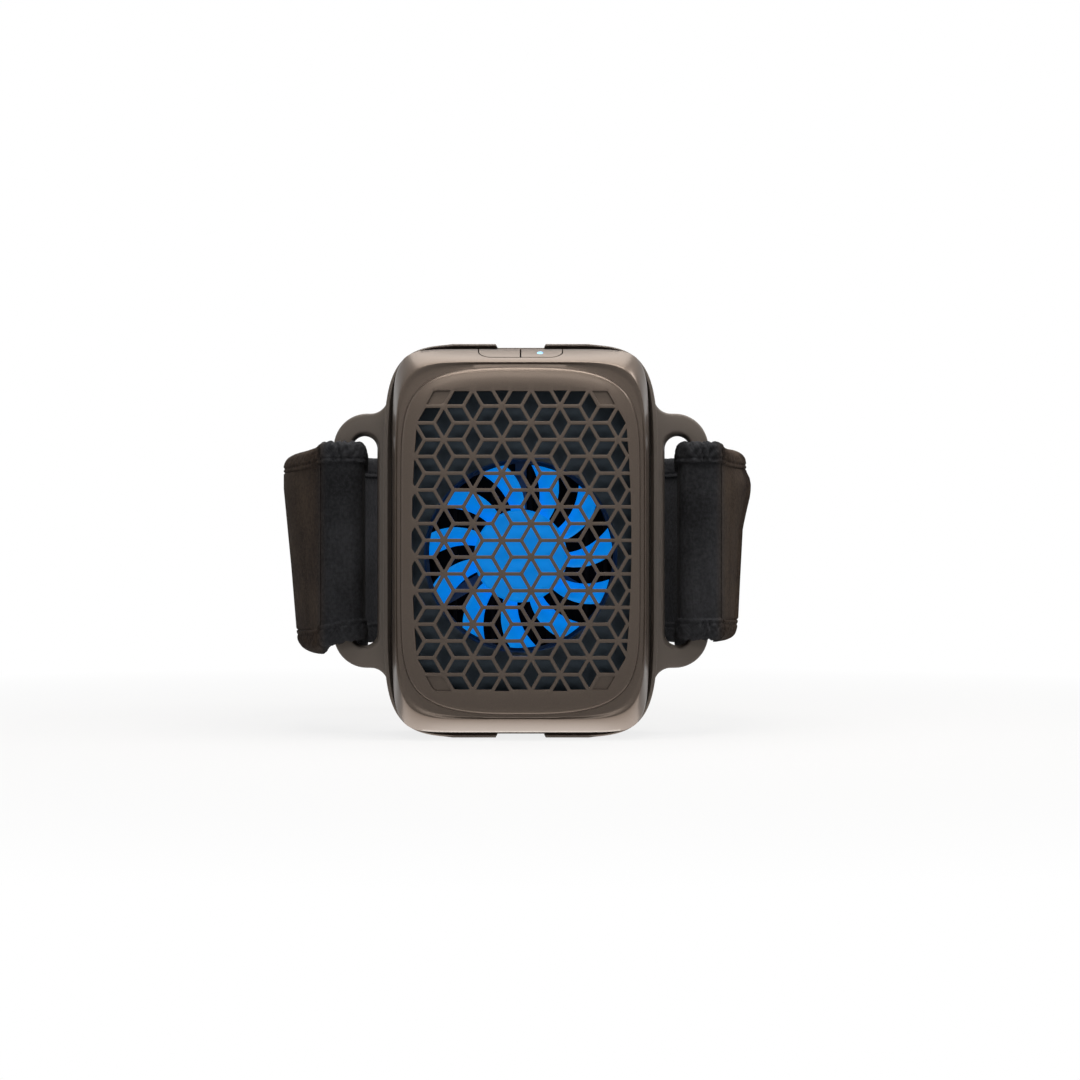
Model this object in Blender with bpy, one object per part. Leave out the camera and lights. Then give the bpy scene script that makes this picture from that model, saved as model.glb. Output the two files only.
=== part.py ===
"""Hot and cold therapy machine worn on a limb, held by an elastic strap.

X runs to the right, Y runs from the front face to the back, Z runs up. Lengths are metres. The
machine stands on the two flats of its lower air lips, and the origin lies on the ground below the
middle of the whole object. In each piece's own coordinates X and Z start at the middle of the
housing and the depth Y starts at the front of the grille.
"""
import math

import bmesh
import bpy
import numpy as np
from mathutils import Matrix, Vector
from mathutils.geometry import delaunay_2d_cdt

# Clearances
SEAT_GAP = 0.0003
CUT_OVERRUN = 0.001

# Housing: width and height of the rear shell, walls, and the stack that sets its depth
SHELL_HALF_WIDTH = 0.0364
SHELL_HALF_HEIGHT = 0.0521
SHELL_SIDE_WALL = 0.0019
LIP_WALL = 0.0008
SKIRT_SIDE_GAP = 0.0004
SKIRT_END_GAP = 0.0003
PILLOW_CROWN = 0.0012
GRILLE_THICKNESS = 0.002
SHELF_THICKNESS = 0.0012
SHROUD_FRONT_GAP = 0.0008
HUB_SET_BACK = 0.0007
HUB_LENGTH = 0.0072
HUB_REAR_GAP = 0.0005
BRACKET_THICKNESS = 0.001
SINK_FAN_GAP = 0.0003
FIN_HEIGHT = 0.0078
SINK_BASE = 0.0028
MODULE_THICKNESS = 0.0034
PAD_THICKNESS = 0.0006
PAD_TO_BACK = 0.0055
SHELF_FRONT = PILLOW_CROWN + GRILLE_THICKNESS + SEAT_GAP
SHROUD_DEPTH = SHELF_FRONT + 3 / 2 * SHELF_THICKNESS + SHROUD_FRONT_GAP
HUB_FRONT_DEPTH = SHROUD_DEPTH + HUB_SET_BACK
DUCT_DEPTH = HUB_FRONT_DEPTH + HUB_LENGTH + HUB_REAR_GAP
FIN_FRONT = DUCT_DEPTH + SEAT_GAP + BRACKET_THICKNESS + SINK_FAN_GAP
MODULE_FRONT = FIN_FRONT + FIN_HEIGHT + SINK_BASE + SEAT_GAP
PAD_FRONT = MODULE_FRONT + MODULE_THICKNESS + SEAT_GAP
PAD_BACK = PAD_FRONT + PAD_THICKNESS

# Front bezel: a rolled band with a ledge for the grille
BEZEL_HALF_WIDTH = SHELL_HALF_WIDTH - SHELL_SIDE_WALL - SKIRT_SIDE_GAP
BEZEL_HALF_HEIGHT = SHELL_HALF_HEIGHT - LIP_WALL - SKIRT_END_GAP
BEZEL_POWER = 7
BEZEL_WALL = 0.0018
SKIRT_OVERHANG = 0.0005
SKIRT_DEPTH = DUCT_DEPTH + SKIRT_OVERHANG
SKIRT_OVERLAP = 0.003
SHOULDER_REVEAL = 0.004
CREST_SIDE_INSET = 0.0014
CREST_END_INSET = 0.0044
CREST_HALF_WIDTH = BEZEL_HALF_WIDTH - CREST_SIDE_INSET
CREST_HALF_HEIGHT = BEZEL_HALF_HEIGHT - CREST_END_INSET
CREST_POWER = 7
CREST_DEPTH = 0.0018
LEDGE_DROP = 0.0005
LEDGE_SIDE_WIDTH = 0.0014
LEDGE_END_WIDTH = 0.0012
SHELF_WIDTH = 0.0018

# Rear shell: outer form, air lips and back wall
FOOT_HALF_WIDTH = SHELL_HALF_WIDTH * 0.4945
SHELL_POWER = 6
SHELL_FRONT_DEPTH = SKIRT_DEPTH - SKIRT_OVERLAP
SHOULDER_DEPTH = SHELL_FRONT_DEPTH - SHOULDER_REVEAL
SHELL_BACK_DEPTH = PAD_BACK + PAD_TO_BACK
SHELL_BACK_ROUNDING = 0.002
SHELL_BACK_WALL = 0.0022
LAND_DROP = 0.001
LAND_WALL = 0.0014
NOTCH_HALF_WIDTH = 0.0062
NOTCH_SLANT = 0.001
SKIRT_SEAT_WIDTH = 0.0015

# Strap: woven elastic band with bound edges, folded back through both loops
STRAP_HALF_HEIGHT = 0.026
STRAP_EDGE_THICKNESS = 0.0032
STRAP_FIELD_THICKNESS = 0.0026
STRAP_EDGE_HEIGHT = 0.006
STRAP_LEAD = 0.003
STRAP_FOLD_TAIL = 0.0014
FOLD_FLARE = math.radians(38)
LIMB_SPACE_DEPTH = 0.0756
RING_SIDE_INSET = 0.0008
TAB_BULGE = 0.0112
TAB_LANDING = 0.0202
PATCH_THICKNESS = 0.001
PATCH_START = 0.003
PATCH_MARGIN = 0.0045

# Strap loops, one each side of the rear shell
LOOP_ROOT_WIDTH = 0.0015
SLOT_WIDTH = 0.0076
LOOP_BAR_WIDTH = 0.0048
SLOT_END_GAP = 0.0028
LOOP_END_WIDTH = 0.0052
LOOP_HALF_SPAN = SHELL_HALF_WIDTH + LOOP_ROOT_WIDTH + SLOT_WIDTH + LOOP_BAR_WIDTH
SLOT_HALF_HEIGHT = STRAP_HALF_HEIGHT + SLOT_END_GAP
LOOP_HALF_HEIGHT = SLOT_HALF_HEIGHT + LOOP_END_WIDTH
LOOP_CORNER_RADIUS = 0.009
LOOP_ROOT_FILLET = 0.0042
LOOP_THICKNESS = 0.005
LOOP_SET_BACK = 0.0052
LOOP_FRONT_DEPTH = SHELL_FRONT_DEPTH + LOOP_SET_BACK
LOOP_SWEEP = math.radians(15)
LOOP_ROOT_OVERLAP = 0.0012
LOOP_EDGE_ROUNDING = 0.0007

# Grille panel: crowned pillow and rhombus lattice
PILLOW_HALF_WIDTH = CREST_HALF_WIDTH - LEDGE_SIDE_WIDTH
PILLOW_HALF_HEIGHT = CREST_HALF_HEIGHT - LEDGE_END_WIDTH
PILLOW_SIDE_POWER = 3
PILLOW_END_POWER = 7
PILLOW_EDGE_ROUNDING = 0.0006
RHOMBUS_SIDE = 0.00504
RIB_WIDTH = 0.0009
LATTICE_START_X = -0.0048
LATTICE_START_Z = 0.0001
FIELD_SIDE_MARGIN = 0.0027
FIELD_END_MARGIN = 0.0063
FIELD_CORNER_WIDTH = 0.0058
FIELD_CORNER_HEIGHT = 0.008
FIELD_SIDE_BULGE = 0.0014
FIELD_HALF_WIDTH = PILLOW_HALF_WIDTH - FIELD_SIDE_MARGIN
FIELD_HALF_HEIGHT = PILLOW_HALF_HEIGHT - FIELD_END_MARGIN
FIELD_CORNER_X = FIELD_HALF_WIDTH - FIELD_CORNER_WIDTH
FIELD_CORNER_Z = FIELD_HALF_HEIGHT - FIELD_CORNER_HEIGHT
POCKET_DEPTH = 0.0005
POCKET_REACH_X = 0.0033
POCKET_REACH_Z = 0.0037
SMALLEST_HOLE_SIDE = 0.00134

# Fan
FAN_DROP = 0.004
DUCT_SIDE_MARGIN = 0.0089
DUCT_RADIUS = BEZEL_HALF_WIDTH - DUCT_SIDE_MARGIN
DUCT_WALL = 0.001
SHROUD_THICKNESS = 0.0012
SHROUD_SIDE_GAP = 0.0004
HUB_RADIUS = DUCT_RADIUS * 0.484
HUB_WALL = 0.0012
HUB_EDGE_ROUNDING = 0.0008
BLADE_COUNT = 11
BLADE_TIP_GAP = 0.001
BLADE_ROOT_EMBED = 0.0005
BLADE_THICKNESS = 0.0009
BLADE_SET_BACK = 0.0009
BLADE_PITCH_DEPTH = 0.0044
BLADE_WIDTH_ANGLE = math.radians(17)
BLADE_ROOT_ANGLE = math.radians(28)
BLADE_SWEEP_ANGLE = math.radians(14.5)
BLADE_SWEEP_POWER = 1.6
SHAFT_RADIUS = 0.001
SHAFT_RUNNING_GAP = 0.00008
BEARING_WALL = 0.001
STATOR_AIR_GAP = 0.0012
STATOR_RADIUS = HUB_RADIUS - HUB_WALL - STATOR_AIR_GAP
STATOR_LENGTH = 0.0042
STATOR_POLES = 4
STATOR_CORE_RADIUS = STATOR_RADIUS * 0.51
STATOR_SLOT_WIDTH = 0.0014
BRACKET_DISC_MARGIN = 0.001
BRACKET_RING_WIDTH = 0.0016
STRUT_COUNT = 3
STRUT_WIDTH = 0.003

# Heat pump stack
SINK_SIDE_MARGIN = 0.0084
SINK_END_MARGIN = 0.0211
SINK_HALF_WIDTH = SHELL_HALF_WIDTH - SINK_SIDE_MARGIN
SINK_HALF_HEIGHT = SHELL_HALF_HEIGHT - SINK_END_MARGIN
FIN_COUNT = 12
FIN_THICKNESS = 0.0011
MODULE_END_MARGIN = 0.001
MODULE_SIDE = SINK_HALF_HEIGHT - MODULE_END_MARGIN
MODULE_CERAMIC = 0.0008
MODULE_WAIST = 0.0008
MODULE_SPACING_GAP = 0.0024
PAD_INSET = 0.0005
FOAM_SIDE_WIDTH = 0.0095
FOAM_END_WIDTH = 0.0033

# Contact plate and its seal
PLATE_SIDE_MARGIN = 0.0084
PLATE_END_MARGIN = 0.0101
PLATE_HALF_WIDTH = SHELL_HALF_WIDTH - PLATE_SIDE_MARGIN
PLATE_HALF_HEIGHT = SHELL_HALF_HEIGHT - PLATE_END_MARGIN
PLATE_POWER = 6
PLATE_THICKNESS = 0.0033
PLATE_ROUNDING = 0.0008
SEAL_THICKNESS = 0.0009
SEAL_INSET = 0.0012
BOSS_SIDE_INSET = 0.0044
BOSS_END_INSET = 0.0084
BOSS_HALF_WIDTH = PLATE_HALF_WIDTH - BOSS_SIDE_INSET
BOSS_HALF_HEIGHT = PLATE_HALF_HEIGHT - BOSS_END_INSET
BOSS_POWER = 12
WINDOW_CLEARANCE = 0.0006

# Housing screws
SCREW_SIDE_INSET = 0.0119
SCREW_END_INSET = 0.0038
SCREW_PLACE_X = BEZEL_HALF_WIDTH - SCREW_SIDE_INSET
SCREW_PLACE_Z = BEZEL_HALF_HEIGHT - SCREW_END_INSET
SCREW_HEAD_RADIUS = 0.0018
SCREW_HEAD_HEIGHT = 0.001
SCREW_SHANK_RADIUS = 0.0009
SCREW_LENGTH = 0.0105
SCREW_HOLE_GAP = 0.0003
POST_RADIUS = 0.0024
POST_BORE_DEPTH = 0.0115

# Batteries and boards
BATTERY_SIDE_GAP = 0.0013
BATTERY_HALF_WIDTH = SCREW_PLACE_X - POST_RADIUS - BATTERY_SIDE_GAP
BATTERY_THICKNESS = 0.0055
BATTERY_ROUNDING = 0.0012
UPPER_BATTERY_MARGIN = 0.007
LOWER_BATTERY_MARGIN = 0.0065
BATTERY_DUCT_GAP = 0.0006
BOARD_THICKNESS = 0.0012

# Buttons on the bezel's upper edge
BUTTON_HALF_WIDTH = 0.0109
BUTTON_SPLIT_GAP = 0.0004
BUTTON_LENGTH = 0.0088
BUTTON_CORNER_RADIUS = 0.0032
BUTTON_EDGE_GAP = 0.0003
BUTTON_TILT = math.radians(19.1)
BUTTON_CREST_GAP = 0.0007
BUTTON_CREST_RISE = 0.0014
BUTTON_SKIN = 0.0013
BUTTON_POCKET = 0.002
BUTTON_STEM_RADIUS = 0.0012
BUTTON_STEM_LENGTH = 0.003
BUTTON_STEM_INSET = 0.0022
SWITCH_HEIGHT = 0.0012
SWITCH_HALF_WIDTH = 0.0022
SWITCH_HALF_DEPTH = 0.0014
BUTTON_BOARD_SIDE_INSET = 0.0004
BUTTON_BOARD_HALF_DEPTH = 0.0024
BUTTON_BOARD_THICKNESS = 0.001
LIGHT_RADIUS = 0.0008
LIGHT_SIDE_SHIFT = 0.00035
LIGHT_INSET = 0.0018

# Charge port in the lower land
PORT_HALF_WIDTH = 0.00447
PORT_HALF_DEPTH = 0.0016
PORT_WALL = 0.0003
PORT_LENGTH = 0.0066
PORT_END_WALL = 0.0006
PORT_SET_BACK = 0.0085
PORT_PLACE_DEPTH = SHELL_FRONT_DEPTH + PORT_SET_BACK
PORT_MOUTH_RECESS = 0.0002
PORT_BOARD_HALF_WIDTH = 0.0095
PORT_BOARD_HEIGHT = 0.012

# Strap ring behind the housing, whose back sets the overall depth
RING_HALF_WIDTH = LOOP_HALF_SPAN - RING_SIDE_INSET
RING_BACK_DEPTH = SHELL_BACK_DEPTH + LIMB_SPACE_DEPTH
RING_WIDEST_DEPTH = SHELL_BACK_DEPTH + LIMB_SPACE_DEPTH * 0.3862
PATCH_HALF_HEIGHT = STRAP_HALF_HEIGHT - PATCH_MARGIN
OVERALL_DEPTH = RING_BACK_DEPTH + STRAP_EDGE_THICKNESS / 2
FAN_CENTRE = (0, -FAN_DROP)

# Counts of steps, and the shares that shape curves
OUTLINE_ARC_STEPS = 9
PILLOW_STEPS = 64
ROUND_STEPS = 40
SMALL_ROUND_STEPS = 12
FIELD_SIDE_STEPS = 7
LOOP_ARC_STEPS = 7
BUTTON_CORNER_STEPS = 5
PORT_CORNER_STEPS = 4
WINDOW_STEPS = 9
BLADE_SPAN_STEPS = 5
BLADE_CHORD_STEPS = 3
RING_STEPS = 14
RING_POWER = 2.3
LEAD_STEPS = 7
FOLD_STEPS = 6
TAB_STEPS = 16
TAB_BULGE_POWER = 1.1
PILLOW_BAND_SHARES = (0.96, 0.93)
ROLL_SHARES = (0, 0.25, 0.5, 0.75, 1)
EDGE_ROUND_SHARES = ((1, 0), (0.3, 0.3), (0, 1))
PORT_ROUND_SHARE = 0.96
BAND_EDGE_SHARE = 0.6

HOUSING_PLACE = Vector((0, -OVERALL_DEPTH / 2, SHELL_HALF_HEIGHT))


def clear_scene():
    """Empty the scene before the machine is built."""
    for item in list(bpy.data.objects):
        bpy.data.objects.remove(item, do_unlink=True)


def make_material(name, colour, roughness, metallic):
    """A Principled material from a linear colour, a roughness and a metallic share."""
    material = bpy.data.materials.new(name)
    material.use_nodes = True
    shader = material.node_tree.nodes["Principled BSDF"]
    shader.inputs["Base Color"].default_value = (*colour, 1)
    shader.inputs["Roughness"].default_value = roughness
    shader.inputs["Metallic"].default_value = metallic
    material.diffuse_color = (*colour, 1)
    return material


def mesh_object(name, vertices, faces, material, place=HOUSING_PLACE, smooth=True):
    """An object whose mesh holds the given corners and faces, with its faces turned outward."""
    mesh = bpy.data.meshes.new(name)
    mesh.from_pydata([tuple(float(value) for value in vertex) for vertex in vertices], [], faces)
    work = bmesh.new()
    work.from_mesh(mesh)
    bmesh.ops.remove_doubles(work, verts=work.verts, dist=SEAT_GAP / 100)
    bmesh.ops.recalc_face_normals(work, faces=work.faces)
    work.to_mesh(mesh)
    work.free()
    if smooth:
        mesh.shade_smooth()
        mesh.set_sharp_from_angle(angle=math.radians(35))
    item = bpy.data.objects.new(name, mesh)
    item.location = place
    item.data.materials.append(material)
    bpy.context.collection.objects.link(item)
    return item


def loft(rings, closed_loop=False):
    """Corners and faces of a skin over rings of equal count, capped unless the rings loop round."""
    count = len(rings[0])
    vertices = np.concatenate(rings)
    faces = []
    spans = len(rings) if closed_loop else len(rings) - 1
    for ring in range(spans):
        here = ring * count
        there = (ring + 1) % len(rings) * count
        for index in range(count):
            after = (index + 1) % count
            faces.append((here + index, here + after, there + after, there + index))
    if not closed_loop:
        faces.append(tuple(range(count)))
        faces.append(tuple(range(len(vertices) - count, len(vertices))))
    return vertices, faces


def at_depth(outline, depth):
    """The X and Z outline as a ring at one depth."""
    outline = np.asarray(outline)
    return np.column_stack([outline[:, 0], np.full(len(outline), float(depth)), outline[:, 1]])


def oval(half_width, half_height, side_power, end_power, steps=PILLOW_STEPS):
    """Outline where |x / half width| ^ side power + |z / half height| ^ end power is one."""
    turn = np.arange(steps) / steps * math.tau
    x = half_width * np.sign(np.cos(turn)) * np.abs(np.cos(turn)) ** (2 / side_power)
    z = half_height * np.sign(np.sin(turn)) * np.abs(np.sin(turn)) ** (2 / end_power)
    return np.column_stack([x, z])


def circle(radius, steps=ROUND_STEPS, centre=(0, 0), start=0):
    """Round outline about a centre."""
    turn = start + np.arange(steps) / steps * math.tau
    return np.column_stack([centre[0] + radius * np.cos(turn), centre[1] + radius * np.sin(turn)])


def rectangle(left, right, low, high, radius=0, steps=3):
    """Rectangle outline with rounded corners, counter-clockwise."""
    if radius == 0:
        return np.array([(left, low), (right, low), (right, high), (left, high)])
    points = []
    for x, z, start in ((right, low, -1), (right, high, 0), (left, high, 1), (left, low, 2)):
        centre_x = x - radius if x == right else x + radius
        centre_z = z - radius if z == high else z + radius
        for step in range(steps + 1):
            turn = math.pi / 2 * (start + step / steps)
            points.append((centre_x + radius * math.cos(turn), centre_z + radius * math.sin(turn)))
    return np.array(points)


def prism(name, outline, front, back, material, place=HOUSING_PLACE):
    """A straight piece with one X and Z outline between two depths."""
    return mesh_object(name, *loft([at_depth(outline, front), at_depth(outline, back)]), material, place)


def revolve(name, profile, material, place=HOUSING_PLACE, steps=ROUND_STEPS, centre=(0, 0)):
    """A turned piece: a closed profile of radius and depth carried round the depth axis."""
    rings = [at_depth(circle(radius, steps, centre), depth) for radius, depth in profile]
    return mesh_object(name, *loft(rings, closed_loop=True), material, place)


def turned_solid(name, profile, material, place=HOUSING_PLACE, steps=ROUND_STEPS, centre=(0, 0)):
    """A turned piece without a bore: a profile of radius and depth from one end cap to the other."""
    rings = [at_depth(circle(radius, steps, centre), depth) for radius, depth in profile]
    return mesh_object(name, *loft(rings), material, place)


def pierced_sheet(name, outline, rim, holes, material, front_of, thickness, pockets=(), extra=(),
                  place=HOUSING_PLACE):
    """A sheet with shaped holes, shallow pockets and a rounded edge.

    The outline is triangulated with its holes, and the front lies at the depth that front_of gives
    for X and Z. The rim is the same outline at full width, one edge rounding behind each face.
    """
    loops = [np.asarray(loop) for loop in (outline, *holes, *pockets)]
    starts = np.cumsum([0] + [len(loop) for loop in loops])
    points = np.concatenate([*loops, np.asarray(extra).reshape(-1, 2)])
    rings = [list(range(start, start + len(loop))) for start, loop in zip(starts, loops)]
    filled = delaunay_2d_cdt([Vector(point) for point in points], [], rings, 1, SEAT_GAP / 10000)
    flat = np.array([tuple(point) for point in filled[0]])
    count = len(flat)
    first_pocket = 1 + len(holes)
    triangles, sunk = [], []
    for face, origin in zip(filled[2], filled[5]):
        inside = [ring for ring in origin if ring > 0]
        if not inside:
            triangles.append(tuple(face))
        elif inside[0] >= first_pocket:
            sunk.append(tuple(face))
    front = front_of(flat[:, 0], flat[:, 1])
    at_edge = {point: origin[0] for point, origin in enumerate(filled[3])
               if origin and origin[0] < len(outline)}
    levels = [front, front + thickness, front + POCKET_DEPTH]
    vertices = [np.column_stack([flat[:, 0], level, flat[:, 1]]) for level in levels]
    rim = np.asarray(rim)
    rim_front = front_of(rim[:, 0], rim[:, 1]) + PILLOW_EDGE_ROUNDING
    vertices += [at_depth(rim, 0) + np.outer(rim_front, (0, 1, 0))]
    vertices += [at_depth(rim, 0) + np.outer(rim_front + thickness - 2 * PILLOW_EDGE_ROUNDING, (0, 1, 0))]
    faces = list(triangles) + [tuple(corner + 2 * count for corner in face) for face in sunk]
    faces += [tuple(corner + count for corner in reversed(face)) for face in triangles + sunk]

    def directed(some):
        return {(face[side], face[(side + 1) % 3]) for face in some for side in range(3)}

    plain, pocket = directed(triangles), directed(sunk)
    for start, end in plain | pocket:
        if (end, start) in plain or (end, start) in pocket:
            if (start, end) in pocket and (end, start) in plain:
                faces.append((start, end, 2 * count + end, 2 * count + start))
            continue
        if start in at_edge and end in at_edge:
            rim_start, rim_end = 3 * count + at_edge[start], 3 * count + at_edge[end]
            lower_start, lower_end = rim_start + len(rim), rim_end + len(rim)
            faces.append((start, end, rim_end, rim_start))
            faces.append((rim_start, rim_end, lower_end, lower_start))
            faces.append((lower_start, lower_end, count + end, count + start))
        else:
            top = 2 * count if (start, end) in pocket else 0
            faces.append((top + start, top + end, count + end, count + start))
    vertices = np.concatenate(vertices)
    used = sorted({corner for face in faces for corner in face})
    number = {old: new for new, old in enumerate(used)}
    faces = [tuple(number[corner] for corner in face) for face in faces]
    return mesh_object(name, vertices[used], faces, material, place)


def boolean(item, cutter, operation):
    """Unite, cut or intersect an object with a hidden cutter object."""
    cutter.hide_render = True
    cutter.display_type = "WIRE"
    change = item.modifiers.new(cutter.name, "BOOLEAN")
    change.operation = operation
    change.object = cutter
    change.solver = "EXACT"


def clip(polygon, field):
    """The part of a convex polygon that lies inside a convex counter-clockwise field."""
    for start, end in zip(field, np.roll(field, -1, axis=0)):
        along = end - start
        kept = []
        for here, there in zip(polygon, polygon[1:] + polygon[:1]):
            side_here = along[0] * (here[1] - start[1]) - along[1] * (here[0] - start[0])
            side_there = along[0] * (there[1] - start[1]) - along[1] * (there[0] - start[0])
            if side_here >= 0:
                kept.append(here)
            if side_here * side_there < 0:
                share = side_here / (side_here - side_there)
                kept.append(here + share * (there - here))
        polygon = kept
        if len(polygon) < 3:
            return []
    return polygon


def area(polygon):
    """Area of a polygon."""
    points = np.array(polygon)
    after = np.roll(points, -1, axis=0)
    return abs(np.sum(points[:, 0] * after[:, 1] - points[:, 1] * after[:, 0])) / 2


def grille_panel(material):
    """Crowned front pillow with a rhombus lattice and four blind pockets in its corners."""
    half_sizes = (PILLOW_HALF_WIDTH, PILLOW_HALF_HEIGHT)
    powers = (PILLOW_SIDE_POWER, PILLOW_END_POWER)
    rim = oval(*half_sizes, *powers)
    outline = oval(*(half - PILLOW_EDGE_ROUNDING for half in half_sizes), *powers)
    rim_band = [oval(*(half * share for half in half_sizes), *powers, PILLOW_STEPS // 2)
                for share in PILLOW_BAND_SHARES]

    side = np.linspace(-1, 1, FIELD_SIDE_STEPS)
    height = FIELD_CORNER_Z * side
    width = FIELD_HALF_WIDTH - FIELD_SIDE_BULGE * side ** 2
    right = np.column_stack([width, height])
    top = np.array([(FIELD_CORNER_X, FIELD_HALF_HEIGHT), (-FIELD_CORNER_X, FIELD_HALF_HEIGHT)])
    field = np.concatenate([right, top, -right, -top])

    long_half = RHOMBUS_SIDE * math.sqrt(3) / 2
    shrink_share = 1 - RIB_WIDTH / (RHOMBUS_SIDE * math.sin(math.pi / 3))
    holes, pockets = [], []
    columns = math.ceil(FIELD_HALF_WIDTH / (1.5 * RHOMBUS_SIDE)) + 1
    rows = math.ceil(FIELD_HALF_HEIGHT / (2 * long_half)) + 1
    for column in range(-columns, columns + 1):
        for row in range(-rows, rows + 1):
            star = np.array([LATTICE_START_X + 1.5 * RHOMBUS_SIDE * column,
                             LATTICE_START_Z + long_half * (2 * row + column % 2)])
            for turn in (math.pi / 2, math.pi / 6, -math.pi / 6):
                long_way = np.array([math.cos(turn), math.sin(turn)])
                short_way = np.array([-long_way[1], long_way[0]])
                centre = star + long_half * long_way
                reach = shrink_share * long_half * long_way
                spread = shrink_share * RHOMBUS_SIDE / 2 * short_way
                hole = clip([centre - reach, centre - spread, centre + reach, centre + spread], field)
                if not hole or area(hole) < SMALLEST_HOLE_SIDE ** 2:
                    continue
                middle = np.abs(np.mean(hole, axis=0))
                blind = (middle[0] > FIELD_CORNER_X - POCKET_REACH_X
                         and middle[1] > FIELD_HALF_HEIGHT - POCKET_REACH_Z)
                (pockets if blind else holes).append(np.array(hole))

    def crown(x, z):
        level = np.abs(x / half_sizes[0]) ** powers[0] + np.abs(z / half_sizes[1]) ** powers[1]
        return PILLOW_CROWN * np.minimum(level, 1) ** 2

    return pierced_sheet("grille_panel", outline, rim, holes, material, crown, GRILLE_THICKNESS,
                         pockets, np.concatenate(rim_band))


def bezel_rings():
    """Outer rings of the bezel from the back of its skirt over the rolled edge to the crest."""
    crest_rise = BEZEL_HALF_HEIGHT - CREST_HALF_HEIGHT
    crest_reach = BEZEL_HALF_WIDTH - CREST_HALF_WIDTH
    rings = [at_depth(oval(BEZEL_HALF_WIDTH, BEZEL_HALF_HEIGHT, BEZEL_POWER, BEZEL_POWER), SKIRT_DEPTH)]
    for share in ROLL_SHARES:
        angle = share * math.pi / 2
        power = BEZEL_POWER + (CREST_POWER - BEZEL_POWER) * share
        outline = oval(BEZEL_HALF_WIDTH - crest_reach * (1 - math.cos(angle)),
                       BEZEL_HALF_HEIGHT - crest_rise * (1 - math.cos(angle)), power, power)
        depth = SHOULDER_DEPTH - (SHOULDER_DEPTH - CREST_DEPTH) * math.sin(angle)
        rings.append(at_depth(outline, depth))
    return rings


def front_bezel(material):
    """Bronze band: outer skirt, rolled edge, ledge and the shelf that carries the grille."""
    seat = (PILLOW_HALF_WIDTH + SEAT_GAP, PILLOW_HALF_HEIGHT + SEAT_GAP)
    powers = (PILLOW_SIDE_POWER, PILLOW_END_POWER)
    shelf_back = SHELF_FRONT + SHELF_THICKNESS
    inner = (BEZEL_HALF_WIDTH - BEZEL_WALL, BEZEL_HALF_HEIGHT - BEZEL_WALL)
    rings = bezel_rings()
    rings.append(at_depth(oval(*seat, *powers), CREST_DEPTH + LEDGE_DROP))
    rings.append(at_depth(oval(*seat, *powers), SHELF_FRONT))
    shelf = oval(seat[0] - SHELF_WIDTH, seat[1] - SHELF_WIDTH, *powers)
    rings.append(at_depth(shelf, SHELF_FRONT))
    rings.append(at_depth(shelf, shelf_back))
    rings.append(at_depth(oval(*inner, BEZEL_POWER, BEZEL_POWER), shelf_back + SHELF_THICKNESS / 2))
    rings.append(at_depth(oval(*inner, BEZEL_POWER, BEZEL_POWER), SKIRT_DEPTH))
    bezel = mesh_object("front_bezel", *loft(rings, closed_loop=True), material)
    for side in (-1, 1):
        boolean(bezel, button_prism("button_pocket", side, BUTTON_EDGE_GAP, -BUTTON_POCKET, material),
                "DIFFERENCE")
    post_front = SHROUD_DEPTH + SHROUD_THICKNESS + SEAT_GAP
    post_back = SHELL_BACK_DEPTH - SHELL_BACK_WALL - SEAT_GAP
    bore = SCREW_SHANK_RADIUS + SCREW_HOLE_GAP
    profile = [(POST_RADIUS, post_front), (POST_RADIUS, post_back), (bore, post_back),
               (bore, post_back - POST_BORE_DEPTH)]
    for number, centre in enumerate(screw_places(), 1):
        post = turned_solid(f"screw_post_{number}", profile, material, steps=SMALL_ROUND_STEPS,
                            centre=centre)
        boolean(bezel, post, "UNION")
    return bezel


def screw_places():
    """The four screws, counter-clockwise from the upper right."""
    return [(side_x * SCREW_PLACE_X, side_z * SCREW_PLACE_Z)
            for side_x, side_z in ((1, 1), (-1, 1), (-1, -1), (1, -1))]


def button_frame():
    """Origin and directions of the buttons: along them to the back, and out of the bezel."""
    origin = Vector((0, CREST_DEPTH + BUTTON_CREST_GAP, CREST_HALF_HEIGHT + BUTTON_CREST_RISE))
    along = Vector((0, math.cos(BUTTON_TILT), math.sin(BUTTON_TILT)))
    outward = Vector((0, -math.sin(BUTTON_TILT), math.cos(BUTTON_TILT)))
    return origin, along, outward


def button_point(x, along_way, outward_way):
    """A point given across, along and out of the buttons' plane."""
    origin, along, outward = button_frame()
    return origin + Vector((x, 0, 0)) + along * along_way + outward * outward_way


def button_outline(side, growth):
    """One button seen along its press: square at the split, rounded at its outer corners."""
    split = BUTTON_SPLIT_GAP / 2 - growth
    outer = BUTTON_HALF_WIDTH + growth
    radius = BUTTON_CORNER_RADIUS + growth
    points = [(split, -growth)]
    for corner, start in ((-growth + radius, -1), (BUTTON_LENGTH + growth - radius, 0)):
        for step in range(BUTTON_CORNER_STEPS + 1):
            turn = math.pi / 2 * (start + step / BUTTON_CORNER_STEPS)
            points.append((outer - radius + radius * math.cos(turn), corner + radius * math.sin(turn)))
    points.append((split, BUTTON_LENGTH + growth))
    return [(side * x, along) for x, along in points]


def button_prism(name, side, growth, bottom, material, place=HOUSING_PLACE):
    """A button's outline carried along its press direction, from a bottom level to above the bezel."""
    outline = button_outline(side, growth)
    rings = [np.array([button_point(x, along, level) for x, along in outline])
             for level in (bottom, BUTTON_LENGTH / 2)]
    return mesh_object(f"{name}_{'right' if side > 0 else 'left'}", *loft(rings), material, place)


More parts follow.
